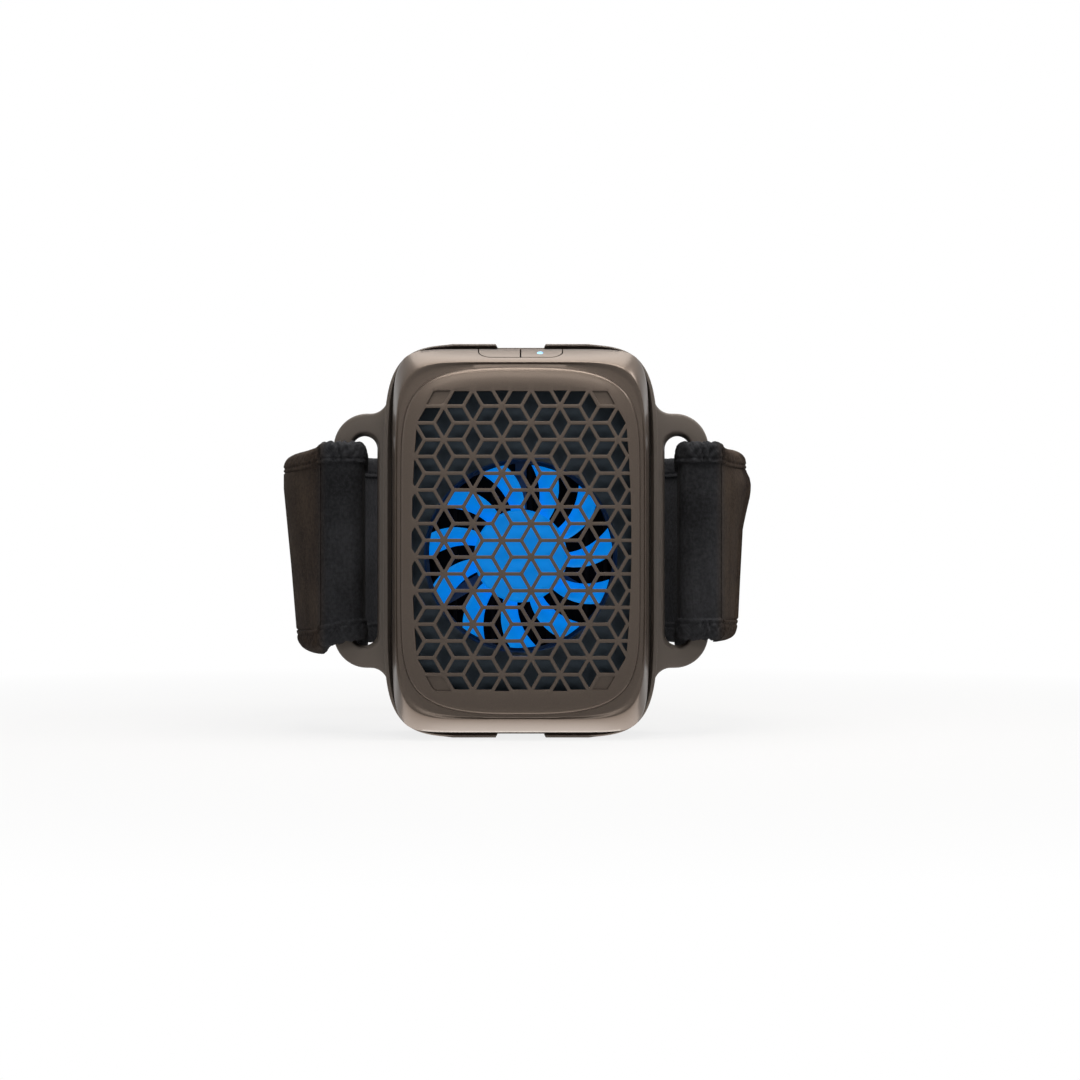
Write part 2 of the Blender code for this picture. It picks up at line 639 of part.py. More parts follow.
def fan_shroud(material):
    """Slate plate behind the grille with the fan's round duct standing back from it."""
    inset = BEZEL_WALL + SHROUD_SIDE_GAP
    half_width, half_height = BEZEL_HALF_WIDTH - inset, BEZEL_HALF_HEIGHT - inset
    outline = oval(half_width, half_height, BEZEL_POWER, BEZEL_POWER, ROUND_STEPS)
    back = SHROUD_DEPTH + SHROUD_THICKNESS
    duct = turned_ring("duct", DUCT_RADIUS, DUCT_RADIUS + DUCT_WALL, back - SEAT_GAP, DUCT_DEPTH, material)
    profile = [(DUCT_RADIUS, SHROUD_DEPTH - CUT_OVERRUN), (DUCT_RADIUS, back + CUT_OVERRUN)]
    hole = turned_solid("duct_hole", profile, material, centre=FAN_CENTRE)
    shroud = prism("fan_shroud", outline, SHROUD_DEPTH, back, material)
    boolean(shroud, hole, "DIFFERENCE")
    boolean(shroud, duct, "UNION")
    for side in (-1, 1):
        notch = button_prism("shroud_notch", side, 2 * BUTTON_EDGE_GAP, -BUTTON_POCKET - SEAT_GAP, material)
        boolean(shroud, notch, "DIFFERENCE")
    return shroud


def turned_ring(name, inner, outer, front, back, material, place=HOUSING_PLACE, centre=FAN_CENTRE,
                steps=ROUND_STEPS):
    """A plain ring between two radii and two depths."""
    profile = [(outer, front), (outer, back), (inner, back), (inner, front)]
    return revolve(name, profile, material, place, steps, centre)


def blade(number, place, material):
    """One swept and pitched fan blade as a closed skin between its front and back faces."""
    root = HUB_RADIUS - BLADE_ROOT_EMBED
    span = np.linspace(0, 1, BLADE_SPAN_STEPS)
    chord = np.linspace(-1 / 2, 1 / 2, BLADE_CHORD_STEPS)
    start = BLADE_ROOT_ANGLE + math.tau * number / BLADE_COUNT
    rings = []
    for share in span:
        radius = root + (DUCT_RADIUS - BLADE_TIP_GAP - root) * share
        turn = start + BLADE_SWEEP_ANGLE * share ** BLADE_SWEEP_POWER + BLADE_WIDTH_ANGLE * chord
        depth = BLADE_SET_BACK + BLADE_PITCH_DEPTH * (chord + 1 / 2)
        front = np.column_stack([radius * np.cos(turn), depth, radius * np.sin(turn)])
        back = front + (0, BLADE_THICKNESS, 0)
        rings.append(np.concatenate([front, back[::-1]]))
    return mesh_object(f"blade_{number + 1}", *loft(rings), material, place)


def fan_rotor(place, material):
    """Hub cup and eleven swept blades in one moulding, with its origin on the fan's axis."""
    back = HUB_LENGTH
    inner = HUB_RADIUS - HUB_WALL
    profile = [(HUB_RADIUS - HUB_EDGE_ROUNDING, 0), (HUB_RADIUS, HUB_EDGE_ROUNDING), (HUB_RADIUS, back),
               (inner, back), (inner, HUB_WALL)]
    rotor = turned_solid("fan_rotor", profile, material, place)
    for number in range(BLADE_COUNT):
        boolean(rotor, blade(number, place, material), "UNION")
    return rotor


def fan_core(place, materials):
    """Shaft, bearing, stator and the three-armed bracket behind the rotor."""
    bracket_front = DUCT_DEPTH + SEAT_GAP
    bracket_back = bracket_front + BRACKET_THICKNESS
    shaft_front = HUB_WALL + SEAT_GAP
    shaft_back = bracket_back - HUB_FRONT_DEPTH
    turned_solid("fan_shaft", [(SHAFT_RADIUS, shaft_front), (SHAFT_RADIUS, shaft_back)],
                 materials["steel"], place, SMALL_ROUND_STEPS)
    bore = SHAFT_RADIUS + SHAFT_RUNNING_GAP
    sleeve = bore + BEARING_WALL
    bearing_front = HUB_FRONT_DEPTH + shaft_front + SEAT_GAP
    turned_ring("fan_bearing", bore, sleeve, bearing_front, bracket_back, materials["brass"],
                steps=SMALL_ROUND_STEPS)
    stator_back = DUCT_DEPTH
    stator = turned_ring("fan_stator", sleeve + SEAT_GAP, STATOR_RADIUS, stator_back - STATOR_LENGTH,
                         stator_back, materials["copper"])
    for pole in range(STATOR_POLES):
        turn = math.tau * (pole + 1 / 2) / STATOR_POLES
        outline = rectangle(STATOR_CORE_RADIUS, STATOR_RADIUS + CUT_OVERRUN,
                            -STATOR_SLOT_WIDTH / 2, STATOR_SLOT_WIDTH / 2)
        outline = outline @ turn_matrix(turn) + FAN_CENTRE
        slot = prism(f"stator_slot_{pole + 1}", outline, stator_back - STATOR_LENGTH - CUT_OVERRUN,
                     stator_back + CUT_OVERRUN, materials["copper"])
        boolean(stator, slot, "DIFFERENCE")
    ring_outer = DUCT_RADIUS + DUCT_WALL
    ring_inner = ring_outer - BRACKET_RING_WIDTH
    disc = STATOR_RADIUS + BRACKET_DISC_MARGIN
    windows = []
    for strut in range(STRUT_COUNT):
        first = math.tau * strut / STRUT_COUNT + math.pi / 2
        last = first + math.tau / STRUT_COUNT
        loop = []
        for radius, turns in ((ring_inner, (first, last)), (disc, (last, first))):
            inset = STRUT_WIDTH / 2 / radius * (1 if turns[0] < turns[1] else -1)
            for turn in np.linspace(turns[0] + inset, turns[1] - inset, WINDOW_STEPS):
                loop.append((radius * math.cos(turn), radius * math.sin(turn)))
        windows.append(np.array(loop) + FAN_CENTRE)
    bore_hole = circle(sleeve + SEAT_GAP, SMALL_ROUND_STEPS, FAN_CENTRE)
    outline = circle(ring_outer, ROUND_STEPS, FAN_CENTRE)
    flat_frame("motor_bracket", outline, [*windows, bore_hole], bracket_front, bracket_back,
               materials["slate"])


def turn_matrix(turn):
    """Matrix that turns row points by an angle when they are multiplied by it."""
    return np.array([(math.cos(turn), math.sin(turn)), (-math.sin(turn), math.cos(turn))])


def flat_frame(name, outline, holes, front, back, material, place=HOUSING_PLACE):
    """A flat plate of even thickness with shaped holes and square edges."""
    loops = [np.asarray(loop) for loop in (outline, *holes)]
    starts = np.cumsum([0] + [len(loop) for loop in loops])
    rings = [list(range(start, start + len(loop))) for start, loop in zip(starts, loops)]
    points = [Vector(point) for point in np.concatenate(loops)]
    filled = delaunay_2d_cdt(points, [], rings, 1, SEAT_GAP / 10000)
    flat = np.array([tuple(point) for point in filled[0]])
    count = len(flat)
    sheet = [tuple(face) for face, origin in zip(filled[2], filled[5]) if list(origin) == [0]]
    sides = {(face[side], face[(side + 1) % 3]) for face in sheet for side in range(3)}
    faces = sheet + [tuple(corner + count for corner in reversed(face)) for face in sheet]
    faces += [(start, end, end + count, start + count) for start, end in sides if (end, start) not in sides]
    vertices = np.concatenate([at_depth(flat, front), at_depth(flat, back)])
    return mesh_object(name, vertices, faces, material, place, smooth=False)


def heat_pump(materials):
    """Heat sink, cooling modules, pads, foam frame, contact plate and its seal, front to back."""
    base_front = FIN_FRONT + FIN_HEIGHT
    base_back = base_front + SINK_BASE
    pitch = (2 * SINK_HALF_WIDTH - FIN_THICKNESS) / (FIN_COUNT - 1)
    comb = [(-SINK_HALF_WIDTH, base_back)]
    for fin in range(FIN_COUNT):
        left = -SINK_HALF_WIDTH + pitch * fin
        right = left + FIN_THICKNESS
        foot = [(left, base_front)] if fin else []
        comb += [*foot, (left, FIN_FRONT), (right, FIN_FRONT)]
        comb += [(right, base_front)] if fin < FIN_COUNT - 1 else []
    comb.append((SINK_HALF_WIDTH, base_back))
    ends = [np.array([(x, depth, z) for x, depth in comb]) for z in (-SINK_HALF_HEIGHT, SINK_HALF_HEIGHT)]
    sink = mesh_object("heat_sink", *loft(ends), materials["aluminium"], smooth=False)

    module_back = MODULE_FRONT + MODULE_THICKNESS
    windows = []
    for name, side in (("upper", 1), ("lower", -1)):
        middle = side * (MODULE_SIDE + MODULE_SPACING_GAP) / 2
        half = MODULE_SIDE / 2
        waist = half - MODULE_WAIST
        full, thin = (rectangle(-reach, reach, middle - reach, middle + reach) for reach in (half, waist))
        levels = [(full, MODULE_FRONT), (full, MODULE_FRONT + MODULE_CERAMIC),
                  (thin, MODULE_FRONT + MODULE_CERAMIC), (thin, module_back - MODULE_CERAMIC),
                  (full, module_back - MODULE_CERAMIC), (full, module_back)]
        mesh_object(f"cooling_module_{name}", *loft([at_depth(*level) for level in levels]),
                    materials["ceramic"], smooth=False)
        reach = half - PAD_INSET
        prism(f"thermal_pad_{name}", rectangle(-reach, reach, middle - reach, middle + reach),
              PAD_FRONT, PAD_BACK, materials["pad"])
        reach = half + SEAT_GAP
        windows.append(rectangle(-reach, reach, middle - reach, middle + reach))
    foam_width = MODULE_SIDE / 2 + FOAM_SIDE_WIDTH
    foam_height = MODULE_SIDE + MODULE_SPACING_GAP / 2 + FOAM_END_WIDTH
    foam = rectangle(-foam_width, foam_width, -foam_height, foam_height)
    flat_frame("insulation_frame", foam, windows, MODULE_FRONT, PAD_BACK, materials["foam"])

    seal_front = SHELL_BACK_DEPTH + SEAT_GAP
    plate_front = seal_front + SEAL_THICKNESS + SEAT_GAP
    plate_back = plate_front + PLATE_THICKNESS
    rounding = PLATE_ROUNDING
    boss = oval(BOSS_HALF_WIDTH, BOSS_HALF_HEIGHT, BOSS_POWER, BOSS_POWER, ROUND_STEPS)

    def plate_outline(inset):
        half_sizes = (PLATE_HALF_WIDTH - inset, PLATE_HALF_HEIGHT - inset)
        return oval(*half_sizes, PLATE_POWER, PLATE_POWER, ROUND_STEPS)

    levels = [(boss, PAD_BACK + SEAT_GAP), (boss, plate_front), (plate_outline(0), plate_front),
              (plate_outline(0), plate_back - rounding),
              (plate_outline(rounding / 3), plate_back - rounding / 3),
              (plate_outline(rounding), plate_back)]
    mesh_object("contact_plate", *loft([at_depth(*level) for level in levels]), materials["plate"])

    inner = oval(BOSS_HALF_WIDTH + WINDOW_CLEARANCE, BOSS_HALF_HEIGHT + WINDOW_CLEARANCE, BOSS_POWER,
                 BOSS_POWER, ROUND_STEPS)
    seal_back = seal_front + SEAL_THICKNESS
    levels = [(plate_outline(SEAL_INSET), seal_front), (plate_outline(SEAL_INSET), seal_back),
              (inner, seal_back), (inner, seal_front)]
    mesh_object("plate_seal", *loft([at_depth(*level) for level in levels], closed_loop=True),
                materials["rubber"])


def shell_outline(half_width, half_height, power=SHELL_POWER):
    """Rear shell outline: an oval with flats in the middle of its top and bottom."""
    flat = FOOT_HALF_WIDTH * half_width / SHELL_HALF_WIDTH
    quarter = [(flat, half_height)]
    for step in range(1, OUTLINE_ARC_STEPS + 1):
        turn = math.pi / 2 * (1 - step / OUTLINE_ARC_STEPS)
        quarter.append((half_width * math.cos(turn) ** (2 / power),
                        half_height * math.sin(turn) ** (2 / power)))
    upper = quarter + [(x, -z) for x, z in reversed(quarter[:-1])]
    return np.array(upper + [(-x, -z) for x, z in upper])


def notch_outline(side, growth, top):
    """Trapezoid of a land: narrow at the land, wider at the lip, grown outward by a wall."""
    land = SHELL_HALF_HEIGHT - LAND_DROP - growth
    low, high = NOTCH_HALF_WIDTH + growth, NOTCH_HALF_WIDTH + NOTCH_SLANT + growth
    return np.array([(-low, side * land), (low, side * land), (high, side * top), (-high, side * top)])


def arc(centre_x, centre_z, radius, start, end, count):
    """Points along part of a circle between two angles."""
    turn = np.linspace(start, end, count)
    return np.column_stack([centre_x + radius * np.cos(turn), centre_z + radius * np.sin(turn)])


def strap_loop(side, material):
    """One swept strap loop: a rounded frame about a long slot, with a root fillet at the housing."""
    root = SHELL_HALF_WIDTH - LOOP_ROOT_OVERLAP
    slot_right = LOOP_HALF_SPAN - LOOP_BAR_WIDTH
    slot_left = slot_right - SLOT_WIDTH
    slot_radius = SLOT_WIDTH / 2 - SEAT_GAP
    slot_top = SLOT_HALF_HEIGHT - slot_radius
    quarter = math.pi / 2

    def outer_edge(inset):
        fillet_top = LOOP_HALF_HEIGHT + LOOP_ROOT_FILLET
        fillet = arc(SHELL_HALF_WIDTH + LOOP_ROOT_FILLET, fillet_top, LOOP_ROOT_FILLET + inset,
                     2 * quarter, 3 * quarter, LOOP_ARC_STEPS)
        corner = arc(LOOP_HALF_SPAN - LOOP_CORNER_RADIUS, LOOP_HALF_HEIGHT - LOOP_CORNER_RADIUS,
                     LOOP_CORNER_RADIUS - inset, quarter, 0, LOOP_ARC_STEPS)
        return np.concatenate([[(root, fillet_top)], fillet, corner])

    def slot_edge(inset):
        left = arc(slot_left + slot_radius, slot_top, slot_radius + inset, 2 * quarter, quarter,
                   LOOP_ARC_STEPS + 1)
        right = arc(slot_right - slot_radius, slot_top, slot_radius + inset, quarter, 0, LOOP_ARC_STEPS)
        return np.concatenate([left, right])

    rings = []
    for edge, order in ((outer_edge, 1), (slot_edge, -1)):
        levels = [(inset_share * LOOP_EDGE_ROUNDING, depth_share * LOOP_EDGE_ROUNDING)
                  for inset_share, depth_share in EDGE_ROUND_SHARES]
        levels += [(inset, LOOP_THICKNESS - depth) for inset, depth in reversed(levels)]
        for inset, depth in levels[::order]:
            upper = edge(inset)
            x, z = np.concatenate([upper, upper[::-1] * (1, -1)]).T
            rings.append(np.column_stack([side * x, loop_front(x) + depth, z]))
    name = f"strap_loop_{'right' if side > 0 else 'left'}"
    return mesh_object(name, *loft(rings, closed_loop=True), material)


def loop_front(x):
    """Depth of a strap loop's front face."""
    return LOOP_FRONT_DEPTH + math.tan(LOOP_SWEEP) * (x - SHELL_HALF_WIDTH)


def rear_shell(material):
    """Dark rear housing: air lips, lands, window for the contact plate and two strap loops."""
    back, rounding = SHELL_BACK_DEPTH, SHELL_BACK_ROUNDING
    wall_front = back - SHELL_BACK_WALL
    step_depth = SKIRT_DEPTH + SEAT_GAP
    inner_width = SHELL_HALF_WIDTH - SHELL_SIDE_WALL
    inner_height = SHELL_HALF_HEIGHT - LIP_WALL

    def outer(inset):
        return shell_outline(SHELL_HALF_WIDTH - inset, SHELL_HALF_HEIGHT - inset)

    window = shell_outline(BOSS_HALF_WIDTH + WINDOW_CLEARANCE, BOSS_HALF_HEIGHT + WINDOW_CLEARANCE,
                           BOSS_POWER)
    cavity = shell_outline(inner_width - SKIRT_SEAT_WIDTH, inner_height - SEAT_GAP)
    mouth = shell_outline(inner_width, inner_height, BEZEL_POWER)
    levels = [(outer(0), SHELL_FRONT_DEPTH), (outer(0), back - rounding),
              (outer(rounding / 4), back - rounding / 3), (outer(rounding), back), (window, back),
              (window, wall_front), (cavity, wall_front), (cavity, step_depth), (mouth, step_depth),
              (mouth, SHELL_FRONT_DEPTH)]
    rings = [at_depth(*level) for level in levels]
    shell = mesh_object("rear_shell", *loft(rings, closed_loop=True), material)
    for name, side in (("upper", 1), ("lower", -1)):
        floor = prism(f"land_floor_{name}", notch_outline(side, LAND_WALL, SHELL_HALF_HEIGHT - LIP_WALL / 2),
                      step_depth + SEAT_GAP, wall_front + SHELL_BACK_WALL / 2, material)
        boolean(shell, floor, "UNION")
        notch = prism(f"notch_{name}", notch_outline(side, 0, SHELL_HALF_HEIGHT + CUT_OVERRUN),
                      SHELL_FRONT_DEPTH - CUT_OVERRUN, back + CUT_OVERRUN, material)
        boolean(shell, notch, "DIFFERENCE")
    for side in (-1, 1):
        boolean(shell, strap_loop(side, material), "UNION")
    head, shank = SCREW_HEAD_RADIUS + SCREW_HOLE_GAP, SCREW_SHANK_RADIUS + SCREW_HOLE_GAP
    seat = back - SCREW_HEAD_HEIGHT - SEAT_GAP
    for number, centre in enumerate(screw_places(), 1):
        profile = [(head, back + CUT_OVERRUN), (head, seat), (shank, seat),
                   (shank, wall_front - CUT_OVERRUN)]
        hole = turned_solid(f"screw_hole_{number}", profile, material, steps=SMALL_ROUND_STEPS,
                            centre=centre)
        boolean(shell, hole, "DIFFERENCE")
    boolean(shell, port_solid("port_hole", SEAT_GAP, CUT_OVERRUN, material), "DIFFERENCE")
    return shell


def port_outline(growth):
    """Charge port outline in X and depth: a rounded slot."""
    half_width, half_depth = PORT_HALF_WIDTH + growth, PORT_HALF_DEPTH + growth
    return rectangle(-half_width, half_width, PORT_PLACE_DEPTH - half_depth, PORT_PLACE_DEPTH + half_depth,
                     half_depth * PORT_ROUND_SHARE, PORT_CORNER_STEPS)


def port_ring(growth, height):
    """The port's outline as a level ring at one height."""
    outline = port_outline(growth)
    return np.column_stack([outline, np.full(len(outline), height)])


def port_solid(name, growth, overrun, material):
    """The port's outer form, grown by a gap and run past the land below."""
    mouth = PORT_MOUTH_RECESS - (SHELL_HALF_HEIGHT - LAND_DROP)
    rings = [port_ring(growth, mouth - overrun), port_ring(growth, mouth + PORT_LENGTH)]
    return mesh_object(name, *loft(rings), material)


def electrics(materials):
    """Batteries, boards and the charge port."""
    front = SHROUD_DEPTH + SHROUD_THICKNESS + SEAT_GAP
    back = front + BATTERY_THICKNESS
    reach = DUCT_RADIUS + DUCT_WALL + BATTERY_DUCT_GAP
    inner_height = BEZEL_HALF_HEIGHT - BEZEL_WALL
    spans = {"upper": (reach - FAN_DROP, inner_height - UPPER_BATTERY_MARGIN),
             "lower": (LOWER_BATTERY_MARGIN - inner_height, -reach - FAN_DROP)}
    for name, (low, high) in spans.items():
        inset = BATTERY_ROUNDING
        full = rectangle(-BATTERY_HALF_WIDTH, BATTERY_HALF_WIDTH, low, high, inset)
        small = rectangle(-BATTERY_HALF_WIDTH + inset / 2, BATTERY_HALF_WIDTH - inset / 2, low + inset / 2,
                          high - inset / 2, inset / 2)
        levels = [(small, front), (full, front + inset), (full, back - inset), (small, back)]
        mesh_object(f"battery_{name}", *loft([at_depth(*level) for level in levels]), materials["cell"])
    low, high = spans["upper"]
    prism("main_board", rectangle(-BATTERY_HALF_WIDTH, BATTERY_HALF_WIDTH, low, high), back + SEAT_GAP,
          back + SEAT_GAP + BOARD_THICKNESS, materials["board"])

    mouth = PORT_MOUTH_RECESS - (SHELL_HALF_HEIGHT - LAND_DROP)
    rings = [port_ring(0, mouth + PORT_LENGTH), port_ring(0, mouth), port_ring(-PORT_WALL, mouth),
             port_ring(-PORT_WALL, mouth + PORT_LENGTH - PORT_END_WALL)]
    mesh_object("charge_port", *loft(rings), materials["steel"])
    board_low = mouth + LAND_WALL + SEAT_GAP
    board_front = PORT_PLACE_DEPTH + PORT_HALF_DEPTH + SEAT_GAP
    prism("port_board", rectangle(-PORT_BOARD_HALF_WIDTH, PORT_BOARD_HALF_WIDTH, board_low,
                                  board_low + PORT_BOARD_HEIGHT),
          board_front, board_front + BOARD_THICKNESS, materials["board"])


def button_place(side):
    """Origin of one button, at the middle of its split edge, in world coordinates."""
    return HOUSING_PLACE + button_point(side * BUTTON_HALF_WIDTH / 2, BUTTON_LENGTH / 2, 0)


def button_disc(name, x, along, radius, bottom, top, material, place=HOUSING_PLACE):
    """A round pin along the press direction between two levels."""
    turn = np.arange(SMALL_ROUND_STEPS) / SMALL_ROUND_STEPS * math.tau
    rings = [np.array([button_point(x + radius * math.cos(angle), along + radius * math.sin(angle), level)
                       for angle in turn]) for level in (bottom, top)]
    return mesh_object(name, *loft(rings), material, place)


def button_box(name, left, right, front, back, bottom, top, material):
    """A flat box in the buttons' tilted plane."""
    outline = [(left, front), (right, front), (right, back), (left, back)]
    rings = [np.array([button_point(x, along, level) for x, along in outline]) for level in (bottom, top)]
    return mesh_object(name, *loft(rings), material, smooth=False)


def shift_origin(item, place):
    """Move an object's origin to a world place and leave its mesh where it is."""
    item.data.transform(Matrix.Translation(item.location - place))
    item.location = place


def buttons(materials):
    """Mode and power buttons, the light guide, two push switches and their board."""
    rings = bezel_rings()
    for name, side in (("mode", -1), ("power", 1)):
        stem_x = side * BUTTON_HALF_WIDTH / 2
        stem_along = BUTTON_LENGTH - BUTTON_STEM_INSET
        button = mesh_object(f"{name}_button", *loft(rings), materials["bronze"])
        shift_origin(button, button_place(side))
        form = button_prism(f"{name}_form", side, 0, -BUTTON_SKIN, materials["bronze"])
        boolean(button, form, "INTERSECT")
        stem = button_disc(f"{name}_stem", stem_x, stem_along, BUTTON_STEM_RADIUS,
                           -BUTTON_STEM_LENGTH, -BUTTON_SKIN / 2, materials["bronze"])
        boolean(button, stem, "UNION")
        if side > 0:
            light_x = stem_x - LIGHT_SIDE_SHIFT
            hole = button_disc("light_hole", light_x, LIGHT_INSET, LIGHT_RADIUS + SEAT_GAP,
                               -BUTTON_POCKET, BUTTON_LENGTH, materials["bronze"])
            boolean(button, hole, "DIFFERENCE")
            guide = mesh_object("light_guide", *loft(rings), materials["light"])
            shift_origin(guide, button_place(side))
            pin = button_disc("light_form", light_x, LIGHT_INSET, LIGHT_RADIUS, -BUTTON_SKIN,
                              BUTTON_LENGTH / 2, materials["light"])
            boolean(guide, pin, "INTERSECT")
        switch_top = -BUTTON_STEM_LENGTH - SEAT_GAP
        button_box(f"{name}_switch", stem_x - SWITCH_HALF_WIDTH, stem_x + SWITCH_HALF_WIDTH,
                   stem_along - SWITCH_HALF_DEPTH, stem_along + SWITCH_HALF_DEPTH,
                   switch_top - SWITCH_HEIGHT, switch_top, materials["steel"])
    board_top = -BUTTON_STEM_LENGTH - 2 * SEAT_GAP - SWITCH_HEIGHT
    board_width = BUTTON_HALF_WIDTH - BUTTON_BOARD_SIDE_INSET
    button_box("button_board", -board_width, board_width, stem_along - BUTTON_BOARD_HALF_DEPTH,
               stem_along + BUTTON_BOARD_HALF_DEPTH, board_top - BUTTON_BOARD_THICKNESS, board_top,
               materials["board"])


def screws(material):
    """Four flat-headed screws that hold the rear shell to the bezel's posts."""
    head_front = SHELL_BACK_DEPTH - SCREW_HEAD_HEIGHT
    for number, centre in enumerate(screw_places(), 1):
        profile = [(SCREW_SHANK_RADIUS, head_front - SCREW_LENGTH), (SCREW_SHANK_RADIUS, head_front),
                   (SCREW_HEAD_RADIUS, head_front), (SCREW_HEAD_RADIUS, SHELL_BACK_DEPTH - SEAT_GAP / 2)]
        turned_solid(f"housing_screw_{number}", profile, material, steps=SMALL_ROUND_STEPS, centre=centre)


def path_normals(path):
    """Unit normals to the left of a path drawn in X and depth."""
    along = np.gradient(path, axis=0)
    along /= np.linalg.norm(along, axis=1)[:, None]
    return np.column_stack([-along[:, 1], along[:, 0]])


def band(name, path, half_height, edge, field, edge_height, material, place=HOUSING_PLACE):
    """A flat band standing on edge along a path in X and depth, thicker along its bound edges."""
    normals = path_normals(path)
    side = [(-half_height, edge * BAND_EDGE_SHARE), (-half_height + edge_height / 2, edge),
            (-half_height + edge_height, field), (half_height - edge_height, field),
            (half_height - edge_height / 2, edge), (half_height, edge * BAND_EDGE_SHARE)]
    section = side + [(height, -reach) for height, reach in reversed(side)]
    rings = []
    for (x, depth), (normal_x, normal_depth) in zip(path, normals):
        rings.append(np.array([(x + normal_x * reach, depth + normal_depth * reach, height)
                               for height, reach in section]))
    return mesh_object(name, *loft(rings), material, place)


def ring_path():
    """Right half of the strap from the back, through the loop's slot and round the bar's front."""
    share = np.arange(RING_STEPS) / RING_STEPS
    turn = share * math.pi / 2
    reach = RING_BACK_DEPTH - RING_WIDEST_DEPTH
    back = np.column_stack([RING_HALF_WIDTH * np.sin(turn) ** (2 / RING_POWER),
                            RING_WIDEST_DEPTH + reach * np.cos(turn) ** (2 / RING_POWER)])
    offset = SEAT_GAP + STRAP_EDGE_THICKNESS / 2
    bar_left = LOOP_HALF_SPAN - LOOP_BAR_WIDTH
    slot_x = bar_left - offset
    lead_depth = loop_front(bar_left) + LOOP_THICKNESS + STRAP_LEAD
    share = np.arange(LEAD_STEPS) / LEAD_STEPS
    ease = (1 + np.cos(share * math.pi)) / 2
    lead = np.column_stack([slot_x + (RING_HALF_WIDTH - slot_x) * ease,
                            RING_WIDEST_DEPTH + (lead_depth - RING_WIDEST_DEPTH) * share])
    radius = offset + LOOP_EDGE_ROUNDING
    corner_drop = LOOP_EDGE_ROUNDING / math.cos(LOOP_SWEEP)
    first = (bar_left + LOOP_EDGE_ROUNDING, loop_front(bar_left + LOOP_EDGE_ROUNDING) + corner_drop)
    last_x = LOOP_HALF_SPAN - LOOP_EDGE_ROUNDING
    last = (last_x, loop_front(last_x) + corner_drop)
    facing = LOOP_SWEEP - math.pi / 2
    fold = [(slot_x, lead_depth)]
    for centre, start, end in ((first, -math.pi, facing), (last, facing, -FOLD_FLARE)):
        for turn in np.linspace(start, end, FOLD_STEPS):
            fold.append((centre[0] + radius * math.cos(turn), centre[1] + radius * math.sin(turn)))
    fold.append(fold[-1] + STRAP_FOLD_TAIL * np.array([math.sin(FOLD_FLARE), math.cos(FOLD_FLARE)]))
    return np.concatenate([back, lead, np.array(fold)])


def tab_path(ring):
    """Right fold-back tab: it bulges away from the fold and lands on the strap's outer face."""
    start = ring[-1] + SEAT_GAP * np.array([math.sin(FOLD_FLARE), math.cos(FOLD_FLARE)])
    lie = STRAP_EDGE_THICKNESS + PATCH_THICKNESS + 2 * SEAT_GAP
    past_widest = ring[:, 1] - RING_WIDEST_DEPTH
    on_ring = np.flatnonzero((past_widest > PATCH_START) & (past_widest < TAB_LANDING))
    landed = (ring[on_ring] + path_normals(ring)[on_ring] * lie)[::-1]
    share = np.arange(TAB_STEPS)[:, None] / TAB_STEPS
    bulge = TAB_BULGE * np.sin(share * math.pi) ** TAB_BULGE_POWER
    loose = start + (landed[0] - start) * share + bulge * np.array([(1, 0)])
    return np.concatenate([loose, landed]), len(landed)


def strap(materials):
    """Elastic strap, its two fold-back tabs and the hook patches under their ends."""
    right = ring_path()
    left = right[:0:-1] * (-1, 1)
    whole = np.concatenate([left, right])
    edge, field = STRAP_EDGE_THICKNESS / 2, STRAP_FIELD_THICKNESS / 2
    band("strap_band", whole, STRAP_HALF_HEIGHT, edge, field, STRAP_EDGE_HEIGHT, materials["strap"])
    path, landed = tab_path(right)
    flare = np.array([math.sin(FOLD_FLARE), math.cos(FOLD_FLARE)])
    hinge = path[0] - flare * SEAT_GAP / 2 + np.array([flare[1], -flare[0]]) * edge
    patch = path[-landed:]
    patch = patch + path_normals(patch) * (STRAP_EDGE_THICKNESS / 2 + SEAT_GAP + PATCH_THICKNESS / 2)
    for name, side in (("right", 1), ("left", -1)):
        order = slice(None) if side > 0 else slice(None, None, -1)
        place = HOUSING_PLACE + Vector((side * hinge[0], hinge[1], 0))
        tab = band(f"strap_tab_{name}", path[order] * (side, 1), STRAP_HALF_HEIGHT, edge, field,
                   STRAP_EDGE_HEIGHT, materials["strap"])
        thin = PATCH_THICKNESS / 2
        hook = band(f"hook_patch_{name}", patch[order] * (side, 1), PATCH_HALF_HEIGHT, thin, thin,
                    STRAP_EDGE_HEIGHT, materials["hook"])
        for item in (tab, hook):
            shift_origin(item, place)


